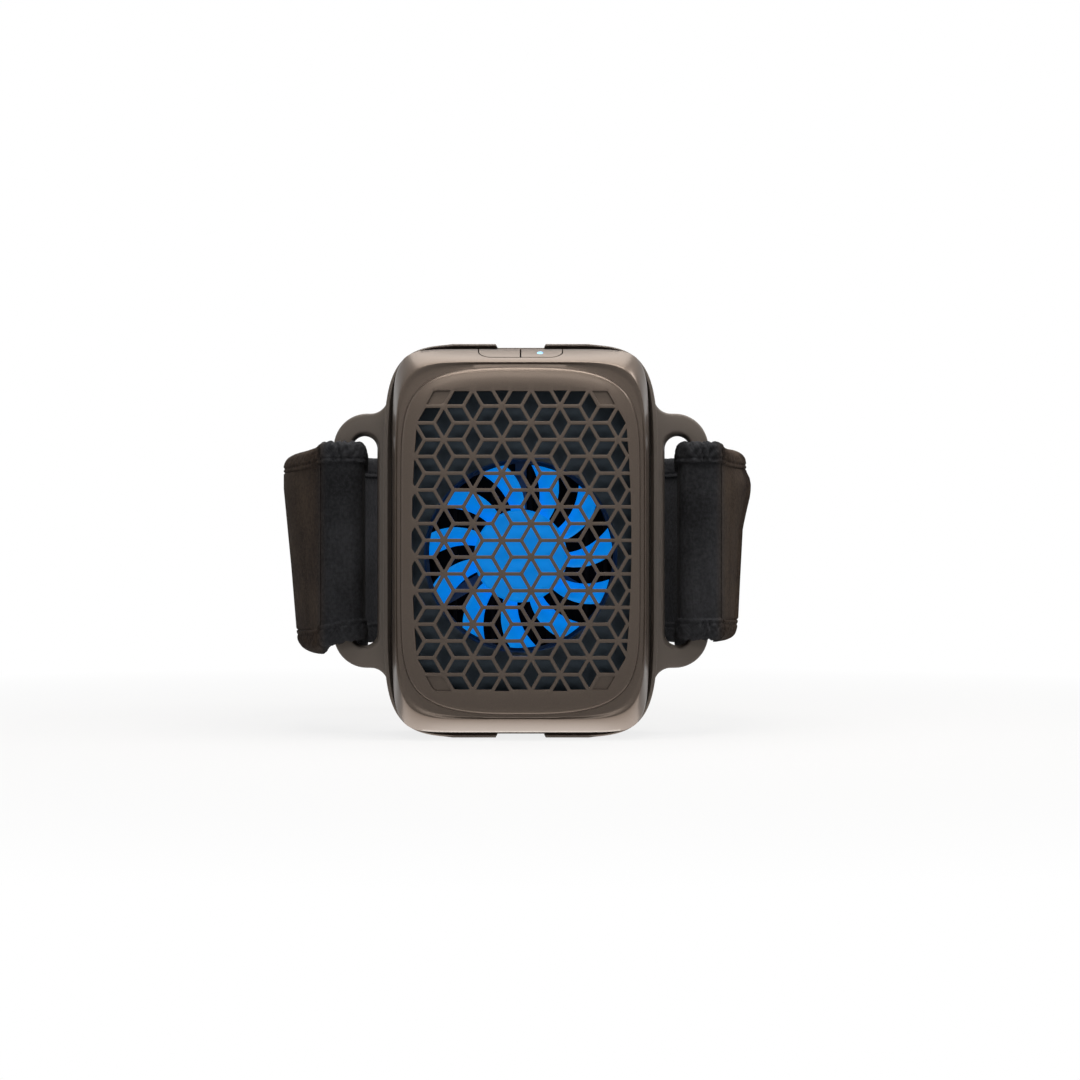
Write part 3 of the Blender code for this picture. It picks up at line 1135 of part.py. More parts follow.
def build():
    """Build every piece, then set the moving ones on their axes."""
    clear_scene()
    materials = {name: make_material(name, *values) for name, values in {
        "bronze": ((0.115, 0.092, 0.077), 0.34, 0.75),
        "shell": ((0.060, 0.054, 0.052), 0.42, 0.35),
        "slate": ((0.022, 0.027, 0.032), 0.55, 0.0),
        "fan_blue": ((0.003, 0.262, 0.956), 0.38, 0.0),
        "steel": ((0.50, 0.50, 0.51), 0.30, 1.0),
        "brass": ((0.55, 0.36, 0.13), 0.32, 1.0),
        "copper": ((0.48, 0.20, 0.09), 0.40, 0.9),
        "aluminium": ((0.60, 0.61, 0.62), 0.38, 1.0),
        "plate": ((0.42, 0.42, 0.43), 0.30, 1.0),
        "ceramic": ((0.80, 0.80, 0.77), 0.50, 0.0),
        "pad": ((0.35, 0.40, 0.44), 0.80, 0.0),
        "foam": ((0.030, 0.030, 0.032), 0.95, 0.0),
        "rubber": ((0.018, 0.018, 0.019), 0.70, 0.0),
        "cell": ((0.030, 0.120, 0.330), 0.35, 0.0),
        "board": ((0.010, 0.110, 0.040), 0.50, 0.0),
        "light": ((0.300, 0.560, 0.800), 0.20, 0.0),
        "strap": ((0.012, 0.012, 0.013), 0.90, 0.0),
        "hook": ((0.020, 0.020, 0.021), 0.95, 0.0),
    }.items()}
    front_bezel(materials["bronze"])
    grille_panel(materials["bronze"])
    fan_shroud(materials["slate"])
    fan_place = HOUSING_PLACE + Vector((FAN_CENTRE[0], HUB_FRONT_DEPTH, FAN_CENTRE[1]))
    fan_rotor(fan_place, materials["fan_blue"])
    fan_core(fan_place, materials)
    heat_pump(materials)
    rear_shell(materials["shell"])
    electrics(materials)
    buttons(materials)
    screws(materials["steel"])
    strap(materials)


build()
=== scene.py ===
"""Looks of a hot and cold therapy machine that a strap holds to a limb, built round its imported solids.

Lengths are metres. A piece's own coordinates are X, the depth behind the front of the grille, and Z
from the middle of the housing, and the object stands on Z = 0 in the frame.
"""
from math import cos, pi, radians, sin, sqrt, tan, tau

import bmesh
import bpy
import numpy as np
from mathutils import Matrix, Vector
from mathutils.geometry import convex_hull_2d, delaunay_2d_cdt


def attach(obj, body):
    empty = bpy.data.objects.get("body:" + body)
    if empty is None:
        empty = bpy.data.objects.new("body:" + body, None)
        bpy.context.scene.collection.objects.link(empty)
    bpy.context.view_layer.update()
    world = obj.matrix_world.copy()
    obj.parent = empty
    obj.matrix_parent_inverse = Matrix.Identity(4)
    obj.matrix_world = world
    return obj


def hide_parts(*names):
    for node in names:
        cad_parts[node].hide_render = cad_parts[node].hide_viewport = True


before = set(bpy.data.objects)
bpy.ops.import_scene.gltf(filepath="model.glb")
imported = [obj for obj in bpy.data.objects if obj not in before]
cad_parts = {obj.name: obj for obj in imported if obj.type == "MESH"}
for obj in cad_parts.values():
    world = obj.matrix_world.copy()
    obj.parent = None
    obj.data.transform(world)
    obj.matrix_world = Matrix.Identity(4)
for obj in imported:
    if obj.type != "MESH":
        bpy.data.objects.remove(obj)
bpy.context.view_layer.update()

# Studio. A pale floor, a white surround and six soft boxes: a large one above, a long and a short one in
# front for the ledge and the grille's upper roll, a strip under the bottom edge and one from each side.
# The camera stands square to the grille.
CAMERA_PLACE = (0.0051, -0.720, 0.0523)
CAMERA_LENS = 85
CAMERA_SENSOR = 36
SURROUND_FILL = 0.20
FLOOR_REACH = 6
FLOOR_FADE = (0.09, 0.34)
FLOOR_GLOW = 0.82
PAPER_MOTTLE = 900.0

bpy.context.scene.view_settings.view_transform = "Standard"
camera = bpy.data.objects.new("camera", bpy.data.cameras.new("camera"))
camera.data.lens = CAMERA_LENS
camera.data.sensor_width = CAMERA_SENSOR
camera.location = CAMERA_PLACE
camera.rotation_euler = (pi / 2, 0, 0)
bpy.context.collection.objects.link(camera)
bpy.context.scene.camera = camera


def linear(code):
    """Linear colour from an sRGB hex code, with the alpha of a solid colour."""
    share = np.array([int(code[place:place + 2], 16) for place in (1, 3, 5)]) / 255
    return (*np.where(share <= 0.04045, share / 12.92, ((share + 0.055) / 1.055) ** 2.4), 1.0)


def add(tree, kind, links=(), **settings):
    """A shader node of a kind with its settings, each a property or a socket by its name or _number.

    A link is an output, or a node for its first output, and the socket that it feeds.
    """
    node = tree.nodes.new("ShaderNode" + kind)
    for name, value in settings.items():
        if name in node.bl_rna.properties:
            setattr(node, name, value)
    for name, value in settings.items():
        if name not in node.bl_rna.properties:
            socket = node.inputs[int(name[1:])] if name[0] == "_" else node.inputs[name.replace("_", " ")]
            socket.default_value = value
    for source, socket in links:
        output = source.outputs[0] if isinstance(source, bpy.types.Node) else source
        tree.links.new(output, node.inputs[socket])
    return node


def rays(tree, *kinds):
    """One for rays of the kinds named, such as Camera, and zero for all others."""
    path = add(tree, "LightPath")
    chosen = path.outputs[f"Is {kinds[0]} Ray"]
    for kind in kinds[1:]:
        chosen = add(tree, "Math", [(chosen, 0), (path.outputs[f"Is {kind} Ray"], 1)],
                     operation="MAXIMUM").outputs[0]
    return chosen


def soft_box(name, place, aim, size, power, colour):
    """A rectangular lamp at a place, turned to an aim."""
    lamp = bpy.data.lights.new(name, "AREA")
    lamp.shape = "RECTANGLE"
    lamp.size, lamp.size_y = size
    lamp.energy = power
    lamp.color = linear(colour)[:3]
    item = bpy.data.objects.new(name, lamp)
    item.location = place
    item.rotation_euler = (Vector(aim) - Vector(place)).to_track_quat("-Z", "Y").to_euler()
    bpy.context.collection.objects.link(item)


soft_box("top_box", (0, 0.04, 0.50), (0, -0.05, 0.08), (0.5, 0.34), 2.9, "#fffaf4")
soft_box("front_box", (0, -0.58, 0.42), (0, -0.055, 0.09), (0.46, 0.14), 1.1, "#fffaf4")
soft_box("near_box", (0.01, -0.105, 0.205), (0, -0.055, 0.09), (0.16, 0.03), 0.30, "#fffaf4")
soft_box("low_strip", (0, -0.0512, 0.0003), (0, -0.0511, 0.1), (0.116, 0.0145), 0.0145, "#fff6ee")
soft_box("left_box", (-0.60, -0.30, 0.25), (0, -0.03, 0.05), (0.12, 0.5), 0.35, "#ffffff")
soft_box("right_box", (0.34, -0.07, 0.36), (0.02, -0.05, 0.09), (0.12, 0.12), 0.8, "#fffaf6")

world = bpy.data.worlds.new("white_surround")
bpy.context.scene.world = world
world.use_nodes = True
tree = world.node_tree
tree.nodes.clear()
seen = rays(tree, "Camera", "Glossy", "Transmission")
fill = add(tree, "Background", Color=linear("#f4f6fa"), Strength=SURROUND_FILL)
white = add(tree, "Background", Color=(1, 1, 1, 1), Strength=1.0)
mixed = add(tree, "MixShader", [(seen, 0), (fill, 1), (white, 2)])
add(tree, "OutputWorld", [(mixed, 0)])

floor_mesh = bpy.data.meshes.new("floor")
floor_corners = [(x * FLOOR_REACH, y * FLOOR_REACH, 0) for x, y in ((-1, -1), (1, -1), (1, 1), (-1, 1))]
floor_mesh.from_pydata(floor_corners, [], [(0, 1, 2, 3)])
floor = bpy.data.objects.new("floor", floor_mesh)
bpy.context.collection.objects.link(floor)
# Matt paper: no gloss, a faint mottle, and white to the camera away from the shadow under the object.
paper = bpy.data.materials.new("matt_white_paper")
paper.use_nodes = True
tree = paper.node_tree
tree.nodes.clear()
grain = add(tree, "TexNoise", Scale=PAPER_MOTTLE, Detail=2.0)
bump = add(tree, "Bump", [(grain, "Height")], Strength=0.05, Distance=0.0002)
matt = add(tree, "BsdfDiffuse", [(bump, "Normal")], Color=linear("#b0b0b0"))
bright = add(tree, "Emission", Color=(1, 1, 1, 1), Strength=1.0)
place = add(tree, "TexCoord").outputs["Object"]
away = add(tree, "VectorMath", [(place, 0)], operation="LENGTH")
fade = add(tree, "MapRange", [(away.outputs["Value"], 0)], _1=FLOOR_FADE[0], _2=FLOOR_FADE[1],
           _3=FLOOR_GLOW, _4=1.0)
seen = add(tree, "Math", [(rays(tree, "Camera", "Glossy"), 0), (fade, 1)], operation="MULTIPLY")
mixed = add(tree, "MixShader", [(seen, 0), (matt, 1), (bright, 2)])
add(tree, "OutputMaterial", [(mixed, 0)])
floor_mesh.materials.append(paper)

# Front bezel. One moulding in plastic with a bronze metallic lacquer: a skirt that slides into the rear
# shell, a rolled edge that catches the light, and a ledge that drops round the grille. Two D-shaped
# pockets for the buttons are cut through its upper edge.
HOUSING_PLACE = np.array((0, -0.057, 0.0521))
SEAT_GAP = 0.0003
VISIBLE_GAP = 0.00002
BEZEL_HALF = (0.0341, 0.0510)
BEZEL_POWER = 7
BEZEL_WALL = 0.0018
FRONT_HALF = (0.0337, 0.0504)
FRONT_POWER = 10
GROOVE_DEPTH = 0.0146
HEAD_DEPTH = 0.0117
CREST_HALF = (0.0327, 0.0466)
BEVEL_POWER = 1.25
CREST_DEPTH = 0.0018
SKIRT_DEPTH = 0.015
SHOULDER_DEPTH = 0.008
LEDGE_DEPTH = 0.0023
PILLOW_HALF = (0.0313, 0.0454)
PILLOW_POWERS = (3, 7)
SHELF_FRONT = 0.0035
SHELF_THICKNESS = 0.0012
SHELF_WIDTH = 0.0018
WALL_FRONT = 0.006
SKIN_STEP = 0.0001
HEAD_DROP = 0.0002
BEVEL_STEPS = 14
LEDGE_FORM = ((0.10, 0.10), (0.24, 0.55), (0.34, 0.88), (0.46, 1), (1, 0.62))
BRONZE = "#4d443d"
FLAKE_SPACING = 0.00016
PEEL_SPACING = 0.0011
OUTLINE_STEPS = 360


def material(name, tint, **settings):
    """A Principled material with fixed values, and its tree, shader and object coordinates."""
    made = bpy.data.materials.new(name)
    made.use_nodes = True
    tree = made.node_tree
    shader = tree.nodes["Principled BSDF"]
    shader.inputs["Base Color"].default_value = linear(tint)
    made.diffuse_color = linear(tint)
    for key, value in settings.items():
        shader.inputs[key.replace("_", " ")].default_value = value
    return made, tree, shader, add(tree, "TexCoord").outputs["Object"]


def toned(tint, share):
    """The linear colour of a hex code, made darker or lighter by a share."""
    return (*np.array(linear(tint)[:3]) * share, 1)


def vary(tree, shader, gloss=None, tints=None, relief=None, span=(0.3, 0.7)):
    """Let patterns steer the gloss (pattern, from, to), colour (share, from, to) and bump.

    Span is the part of a noise's values that the gloss runs over, and bump is a pattern, strength and depth.
    """
    if gloss:
        ranged = add(tree, "MapRange", [(gloss[0], 0)], _1=span[0], _2=span[1], _3=gloss[1], _4=gloss[2])
        tree.links.new(ranged.outputs[0], shader.inputs["Roughness"])
    if tints:
        shade = add(tree, "Mix", [(tints[0], 0)], data_type="RGBA", _6=tints[1], _7=tints[2])
        tree.links.new(shade.outputs[2], shader.inputs["Base Color"])
    if relief:
        bump = add(tree, "Bump", [(relief[0], "Height")], Strength=relief[1], Distance=relief[2])
        tree.links.new(bump.outputs[0], shader.inputs["Normal"])


def metallic_lacquer(name, tint, rough, flake):
    """Sprayed metallic lacquer: fine flakes that glint, over the slight orange peel of a sprayed coat."""
    made, tree, shader, coords = material(name, tint, Metallic=0.55, Roughness=rough, Coat_Weight=0.06,
                                          Coat_Roughness=0.15, Specular_IOR_Level=0.25)
    flakes = add(tree, "TexNoise", [(coords, "Vector")], Scale=1 / FLAKE_SPACING, Detail=2.0)
    tone = add(tree, "MapRange", [(flakes, 0)], _1=0.3, _2=0.7, _3=0.0, _4=1.0)
    peel = add(tree, "TexNoise", [(coords, "Vector")], Scale=1 / PEEL_SPACING, Detail=1.0)
    vary(tree, shader, gloss=(flakes, rough - flake, rough + flake),
         tints=(tone, toned(tint, 0.88), toned(tint, 1.12)), relief=(peel, 0.05, 0.00005))
    return made


def run_of(path):
    """The length of a path up to each of its points."""
    return np.concatenate([[0], np.cumsum(np.linalg.norm(np.diff(path, axis=0), axis=1))])


def points_at(path, at):
    """The points of a path at lengths along it."""
    return np.column_stack([np.interp(at, run_of(path), values) for values in path.T])


def even(points, count):
    """The closed outline through the points, drawn again with evenly spaced points."""
    closed = np.vstack([points, points[:1]])
    return points_at(closed, np.arange(count) / count * run_of(closed)[-1])


def oval(half, powers, count=OUTLINE_STEPS):
    """Outline where |x / half width| ^ side power + |z / half height| ^ end power is one.

    A single power serves both ways.
    """
    side_power, end_power = np.broadcast_to(powers, 2)
    turn = np.arange(3600) / 3600 * tau
    across, up = np.cos(turn), np.sin(turn)
    x = half[0] * np.sign(across) * np.abs(across) ** (2 / side_power)
    z = half[1] * np.sign(up) * np.abs(up) ** (2 / end_power)
    return even(np.column_stack([x, z]), count)


def inset(half, by):
    """Half sizes drawn in by one amount, or grown by a negative one."""
    return [size - by for size in half]


def at_depth(outline, depth):
    """An X and Z outline as a ring at one depth, or at a depth for each of its points."""
    return np.column_stack([outline[:, 0], np.broadcast_to(depth, len(outline)), outline[:, 1]])


def at_depths(outline, *depths):
    """One outline as a ring at each of several depths."""
    return [at_depth(outline, depth) for depth in depths]


def grid(rows, columns, wrap_rows):
    """Quads between neighbours on a grid of points whose columns close on themselves, as rows may."""
    row = np.arange(rows if wrap_rows else rows - 1)[:, None]
    column = np.arange(columns)[None, :]
    next_row, next_column = (row + 1) % rows, (column + 1) % columns
    corners = [row * columns + column, row * columns + next_column, next_row * columns + next_column,
               next_row * columns + column]
    return np.stack(corners, -1).reshape(-1, 4).tolist()


def piece(name, points, faces, finish, body="housing", stands_for=(), sharp=40):
    """A finished mesh object: doubles merged, faces turned outward, smooth up to a sharp angle."""
    mesh = bpy.data.meshes.new(name)
    mesh.from_pydata((np.asarray(points, float) + HOUSING_PLACE).tolist(), [], faces)
    work = bmesh.new()
    work.from_mesh(mesh)
    bmesh.ops.remove_doubles(work, verts=work.verts, dist=1e-7)
    bmesh.ops.recalc_face_normals(work, faces=work.faces)
    work.to_mesh(mesh)
    work.free()
    mesh.shade_smooth()
    mesh.set_sharp_from_angle(angle=radians(sharp))
    item = bpy.data.objects.new(name, mesh)
    mesh.materials.append(finish)
    bpy.context.collection.objects.link(item)
    if body:
        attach(item, body)
    if stands_for:
        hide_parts(*stands_for)
    return item


def ring_skin(rings, closed=True, caps=(False, False)):
    """Points and faces of a skin carried over rings of equal count, closed on itself or capped."""
    count = len(rings[0])
    faces = grid(len(rings), count, wrap_rows=closed)
    if caps[0]:
        faces.append(list(range(count)))
    if caps[1]:
        faces.append(list(range(len(rings) * count - count, len(rings) * count)))
    return np.concatenate(rings), faces


def solid_skin(rings):
    """Points and faces of a skin carried over rings and capped at both ends."""
    return ring_skin(rings, closed=False, caps=(True, True))


def cut(item, cutters, operation="DIFFERENCE"):
    """Cut, unite or intersect a piece with closed cutters, and keep the result as its mesh."""
    for cutter in cutters:
        change = item.modifiers.new(cutter.name, "BOOLEAN")
        change.operation = operation
        change.object = cutter
        change.solver = "EXACT"
    graph = bpy.context.evaluated_depsgraph_get()
    result = bpy.data.meshes.new_from_object(item.evaluated_get(graph))
    item.modifiers.clear()
    item.data = result
    for cutter in cutters:
        bpy.data.objects.remove(cutter)
    item.data.shade_smooth()
    item.data.set_sharp_from_angle(angle=radians(30))
    return item


def bezel_outer():
    """Rings from the skirt past the groove to the squarer head, and over the bevel to its crest.

    Over the bevel, risen = 1 - (1 - drawn in) ^ bevel power.
    """
    rings = at_depths(oval(BEZEL_HALF, BEZEL_POWER), SKIRT_DEPTH, GROOVE_DEPTH + SKIN_STEP)
    rings += at_depths(oval(inset(BEZEL_HALF, SKIN_STEP), BEZEL_POWER), GROOVE_DEPTH)
    rings += at_depths(oval(FRONT_HALF, BEZEL_POWER), GROOVE_DEPTH, HEAD_DEPTH)
    head, crest = oval(FRONT_HALF, FRONT_POWER), oval(CREST_HALF, BEZEL_POWER)
    rings += at_depths(head, HEAD_DEPTH - HEAD_DROP)
    for drawn in 1 - (1 - np.linspace(0, 1, BEVEL_STEPS)) ** 2:
        risen = 1 - (1 - drawn) ** BEVEL_POWER
        rings.append(at_depth(head + (crest - head) * drawn,
                              SHOULDER_DEPTH - (SHOULDER_DEPTH - CREST_DEPTH) * risen))
    return rings


# Bronze lacquer: a warm brown that brightens on every roll, with a fine sparkle in the bright parts.
bronze = metallic_lacquer("bronze_lacquer_on_abs", BRONZE, 0.33, 0.05)
seat = inset(PILLOW_HALF, -VISIBLE_GAP)
rings = bezel_outer()
crest = rings[-1][:, [0, 2]]
foot = oval(seat, PILLOW_POWERS)
rings += [at_depth(crest + (foot - crest) * share, CREST_DEPTH + (LEDGE_DEPTH - CREST_DEPTH) * fall)
          for share, fall in LEDGE_FORM]
rings += at_depths(foot, SHELF_FRONT)
rings += at_depths(oval(inset(seat, SHELF_WIDTH), PILLOW_POWERS), SHELF_FRONT, SHELF_FRONT + SHELF_THICKNESS)
rings += at_depths(oval(inset(BEZEL_HALF, BEZEL_WALL), BEZEL_POWER), WALL_FRONT, SKIRT_DEPTH)
bezel = piece("bezel_moulding", *ring_skin(rings), bronze, stands_for=["front_bezel"])

# Buttons. Two caps of the same lacquered plastic whose tops carry on the bezel's rolled edge, split in the
# middle. A clear light guide is pressed through the power button and glows a pale blue.
BUTTON_HALF_WIDTH = 0.0109
BUTTON_SPLIT_GAP = 0.0004
BUTTON_LENGTH = 0.0088
BUTTON_CORNER_RADIUS = 0.0032
BUTTON_GAP = 0.0003
BUTTON_TILT = radians(19.1)
BUTTON_START = np.array((0, 0.0025, 0.0480))
BUTTON_FRONT = 0.0011
BUTTON_SKIN = 0.0013
BUTTON_POCKET = 0.002
BUTTON_TOP = 0.0044
LIGHT_RADIUS = 0.0008
LIGHT_PLACE = (0.0051, 0.0036)
LIGHT_FIT = 0.00005
HAZE_SPACING = 0.0005


def on_button(x, along, out):
    """Own coordinates of points across, along and out of the buttons' tilted plane."""
    along_way = np.array((0, cos(BUTTON_TILT), sin(BUTTON_TILT)))
    out_way = np.array((0, -sin(BUTTON_TILT), cos(BUTTON_TILT)))
    x, along, out = np.broadcast_arrays(x, along, out)
    return BUTTON_START + np.outer(x, (1, 0, 0)) + np.outer(along, along_way) + np.outer(out, out_way)


def button_cutter(name, side, growth, low):
    """A button's outline, square at the split and rounded outside, carried along its press."""
    radius = BUTTON_CORNER_RADIUS + growth
    split, outer = BUTTON_SPLIT_GAP / 2 - growth, BUTTON_HALF_WIDTH + growth
    turn = np.linspace(0, pi / 2, 12)
    start = BUTTON_FRONT - growth
    front = np.column_stack([outer - radius + radius * np.sin(turn), start + radius * (1 - np.cos(turn))])
    back = np.column_stack([outer - radius + radius * np.cos(turn),
                            BUTTON_LENGTH + growth - radius + radius * np.sin(turn)])
    outline = np.concatenate([[(split, start)], front, back, [(split, BUTTON_LENGTH + growth)]])
    rings = [on_button(side * outline[:, 0], outline[:, 1], level) for level in (low, BUTTON_TOP)]
    return piece(name, *solid_skin(rings), bronze, body=None)


def pin_cutter(name, radius, low, finish, steps=32):
    """A round pin at the light's place, carried along the press."""
    turn = np.arange(steps) / steps * tau
    x, along = LIGHT_PLACE[0] + radius * np.cos(turn), LIGHT_PLACE[1] + radius * np.sin(turn)
    rings = [on_button(x, along, level) for level in (low, BUTTON_TOP)]
    return piece(name, *solid_skin(rings), finish, body=None)


cut(bezel, [button_cutter("pocket", side, BUTTON_GAP, -BUTTON_POCKET) for side in (-1, 1)])
# Clear polycarbonate lit from behind: a small pale blue point with a soft, slightly hazy gloss.
light_clear, tree, shader, coords = material("polycarbonate_light_guide", "#5b8fc0", Roughness=0.18,
                                             IOR=1.58, Emission_Strength=0.16)
shader.inputs["Emission Color"].default_value = linear("#7fc4ff")
haze = add(tree, "TexNoise", [(coords, "Vector")], Scale=1 / HAZE_SPACING, Detail=2.0)
vary(tree, shader, gloss=(haze, 0.14, 0.26), span=(0.2, 0.8))
for word, side in (("mode", -1), ("power", 1)):
    cap = piece(f"{word}_button_cap", *solid_skin(bezel_outer()), bronze, body=f"{word}_button",
                stands_for=[f"{word}_button"])
    cut(cap, [button_cutter("form", side, 0, -BUTTON_SKIN)], "INTERSECT")
    if side > 0:
        cut(cap, [pin_cutter("light_hole", LIGHT_RADIUS + LIGHT_FIT, -BUTTON_POCKET, bronze)])
lens = piece("power_light", *solid_skin(bezel_outer()), light_clear, body="power_button",
             stands_for=["light_guide"])
cut(lens, [pin_cutter("pin", LIGHT_RADIUS, -BUTTON_SKIN, light_clear)], "INTERSECT")

# Grille panel. A crowned pillow moulded in one with its lattice, in the same bronze lacquer. The ribs make
# stars of three rhombi, every hole has rounded corners and a softened edge, and the four stars in the
# corners are blind pockets. It lies in the bezel's ledge.
PILLOW_CROWN = 0.0012
GRILLE_THICKNESS = 0.002
PILLOW_EDGE = 0.0006
RHOMBUS_SIDE = 0.00504
RIB_WIDTH = 0.0009
LATTICE_START = (-0.0048, 0.0001)
FIELD_HALF = (0.0286, 0.0391)
FIELD_CORNER = (0.0228, 0.0311)
FIELD_SIDE_BULGE = 0.0014
FIELD_SHIFT = (0.0003, 0)
POCKET_DEPTH = 0.0009
POCKET_REACH = (0.0195, 0.0354)
HOLE_CORNER = 0.00025
HOLE_SOFTENING = 0.00006
SMALLEST_HOLE = 1.8e-6
CORNER_STEPS = 4
LATTICE_COLUMNS = 11
LATTICE_ROWS = 13
CROWN_BANDS = (0.985, 0.97, 0.955, 0.94, 0.925, 0.91)
CROWN_BAND_STEPS = 240


def crown(x, z):
    """Depth of the pillow's front at an oval's level t: crown (0.7 t^2 + 0.5 t^4), steepest at the edge."""
    level = np.abs(x / PILLOW_HALF[0]) ** PILLOW_POWERS[0] + np.abs(z / PILLOW_HALF[1]) ** PILLOW_POWERS[1]
    level = np.minimum(level, 1)
    return PILLOW_CROWN * (0.7 * level ** 2 + 0.5 * level ** 4)


def clip(polygon, field):
    """The part of a convex polygon that lies inside a convex counter-clockwise field."""
    for start, end in zip(field, np.roll(field, -1, axis=0)):
        along = end - start
        side = along[0] * (polygon[:, 1] - start[1]) - along[1] * (polygon[:, 0] - start[0])
        kept = []
        for here, there, one, two in zip(polygon, np.roll(polygon, -1, axis=0), side, np.roll(side, -1)):
            if one >= 0:
                kept.append(here)
            if one * two < 0:
                kept.append(here + one / (one - two) * (there - here))
        polygon = np.array(kept)
        if len(polygon) < 3:
            return None
    return polygon


def soft_hole(polygon, growth):
    """A convex polygon grown outward, each corner turned into a parabola of the corner length."""
    to_last = np.roll(polygon, 1, axis=0) - polygon
    to_next = np.roll(polygon, -1, axis=0) - polygon
    to_last /= np.linalg.norm(to_last, axis=1)[:, None]
    to_next /= np.linalg.norm(to_next, axis=1)[:, None]
    between = to_last + to_next
    between /= np.linalg.norm(between, axis=1)[:, None]
    half_angle = np.arccos(np.clip(np.sum(to_last * between, axis=1), -1, 1))
    tip = polygon - between * (growth / np.sin(half_angle))[:, None]
    sides = np.linalg.norm(np.roll(polygon, -1, axis=0) - polygon, axis=1)
    reach = np.minimum(HOLE_CORNER, 0.4 * np.minimum(sides, np.roll(sides, 1)))[:, None, None]
    share = np.linspace(0, 1, CORNER_STEPS)[None, :, None]
    curve = (tip[:, None] + (1 - share) ** 2 * reach * to_last[:, None]
             + share ** 2 * reach * to_next[:, None])
    return curve.reshape(-1, 2)


def filled(loops, extra=()):
    """Triangles that fill the first loop and leave out the others, on the loops' points in order."""
    starts = np.cumsum([0] + [len(loop) for loop in loops])
    points = np.concatenate([*loops, np.asarray(extra, float).reshape(-1, 2)])
    rings = [list(range(start, start + len(loop))) for start, loop in zip(starts, loops)]
    result = delaunay_2d_cdt([Vector(point) for point in points], [], rings, 1, 1e-9)
    first = [origin[0] if origin else -1 for origin in result[3]]
    plain = [[first[corner] for corner in face] for face, origin in zip(result[2], result[5])
             if not any(ring > 0 for ring in origin)]
    return points, plain, starts


def round_off(radius, turns):
    """Steps round a quarter circle from face to side: how far in from the side each lies, and how deep."""
    return [(radius * (1 - sin(turn)), radius * (1 - cos(turn))) for turn in turns]


def together(*parts):
    """Several point and face lists as one."""
    starts = np.cumsum([0] + [len(points) for points, faces in parts])
    return (np.concatenate([points for points, faces in parts]),
            [[corner + int(start) for corner in face] for start, (points, faces) in zip(starts, parts)
             for face in faces])


side = np.linspace(-1, 1, 25)
right = np.column_stack([FIELD_HALF[0] - FIELD_SIDE_BULGE * side ** 2, FIELD_CORNER[1] * side])
top = np.array([(FIELD_CORNER[0], FIELD_HALF[1]), (-FIELD_CORNER[0], FIELD_HALF[1])])
field = np.concatenate([right, top, -right, -top]) + FIELD_SHIFT
long_half = RHOMBUS_SIDE * sqrt(3) / 2
shrink = 1 - RIB_WIDTH / (RHOMBUS_SIDE * sin(pi / 3))
holes, pockets = [], {}
for column, row in np.ndindex(LATTICE_COLUMNS, LATTICE_ROWS):
    column, row = column - LATTICE_COLUMNS // 2, row - LATTICE_ROWS // 2
    star = np.array([LATTICE_START[0] + 1.5 * RHOMBUS_SIDE * column,
                     LATTICE_START[1] + long_half * (2 * row + column % 2)])
    for turn in (pi / 2, pi / 6, -pi / 6):
        long_way = np.array([cos(turn), sin(turn)])
        short_way = np.array([-long_way[1], long_way[0]])
        reach, spread = shrink * long_half * long_way, shrink * RHOMBUS_SIDE / 2 * short_way
        middle = star + long_half * long_way
        hole = clip(np.array([middle - reach, middle - spread, middle + reach, middle + spread]), field)
        if hole is None:
            continue
        after = np.roll(hole, -1, axis=0)
        if abs(np.sum(hole[:, 0] * after[:, 1] - hole[:, 1] * after[:, 0])) / 2 < SMALLEST_HOLE:
            continue
        middle = np.mean(hole, axis=0)
        if np.all(np.abs(middle) > POCKET_REACH):
            pockets.setdefault(tuple(np.sign(middle)), []).append(hole)
        else:
            holes.append(hole)
pockets = [np.concatenate(parts) for parts in pockets.values()]
pockets = [corners[convex_hull_2d([Vector(corner) for corner in corners])] for corners in pockets]

levels = [(HOLE_SOFTENING, 0.0), (HOLE_SOFTENING * 0.3, HOLE_SOFTENING * 0.3), (0.0, HOLE_SOFTENING)]
edge = oval(inset(PILLOW_HALF, PILLOW_EDGE), PILLOW_POWERS)
bands = np.concatenate([oval([half * share for half in PILLOW_HALF], PILLOW_POWERS, CROWN_BAND_STEPS)
                        for share in CROWN_BANDS])
points, faces, starts = filled([edge, *(soft_hole(hole, HOLE_SOFTENING) for hole in holes + pockets)], bands)
layers = []
for growth, drop in levels:
    flat = points.copy()
    flat[len(edge):starts[-1]] = np.concatenate([soft_hole(hole, growth) for hole in holes + pockets])
    layers.append(at_depth(flat, crown(*flat.T) + drop))
layers += [layers[-1] + (0, GRILLE_THICKNESS - HOLE_SOFTENING, 0),
           layers[-1] + (0, POCKET_DEPTH - HOLE_SOFTENING, 0)]
count = len(points)
faces += [[corner + 3 * count for corner in face[::-1]] for face in faces]
for number, (start, end) in enumerate(zip(starts[1:], starts[2:])):
    ring = np.arange(start, end)
    after = np.roll(ring, -1)
    sunk = number >= len(holes)
    for near, far in ((0, 1), (1, 2), (2, 4 if sunk else 3)):
        faces += np.column_stack([ring + near * count, ring + far * count, after + far * count,
                                  after + near * count]).tolist()
    if sunk:
        faces.append((ring[::-1] + 4 * count).tolist())
        faces.append((ring + 3 * count).tolist())
rim = [layers[0][:len(edge)]]
rounding = np.linspace(0, pi / 2, 5)[1:]
for inward, drop in round_off(PILLOW_EDGE, rounding):
    outline = oval(inset(PILLOW_HALF, inward), PILLOW_POWERS)
    rim.append(at_depth(outline, crown(*outline.T) + drop))
rim += [ring + (0, GRILLE_THICKNESS - 2 * drop, 0)
        for ring, (inward, drop) in zip(rim[:0:-1], round_off(PILLOW_EDGE, rounding)[::-1])]
rim.append(layers[3][:len(edge)])
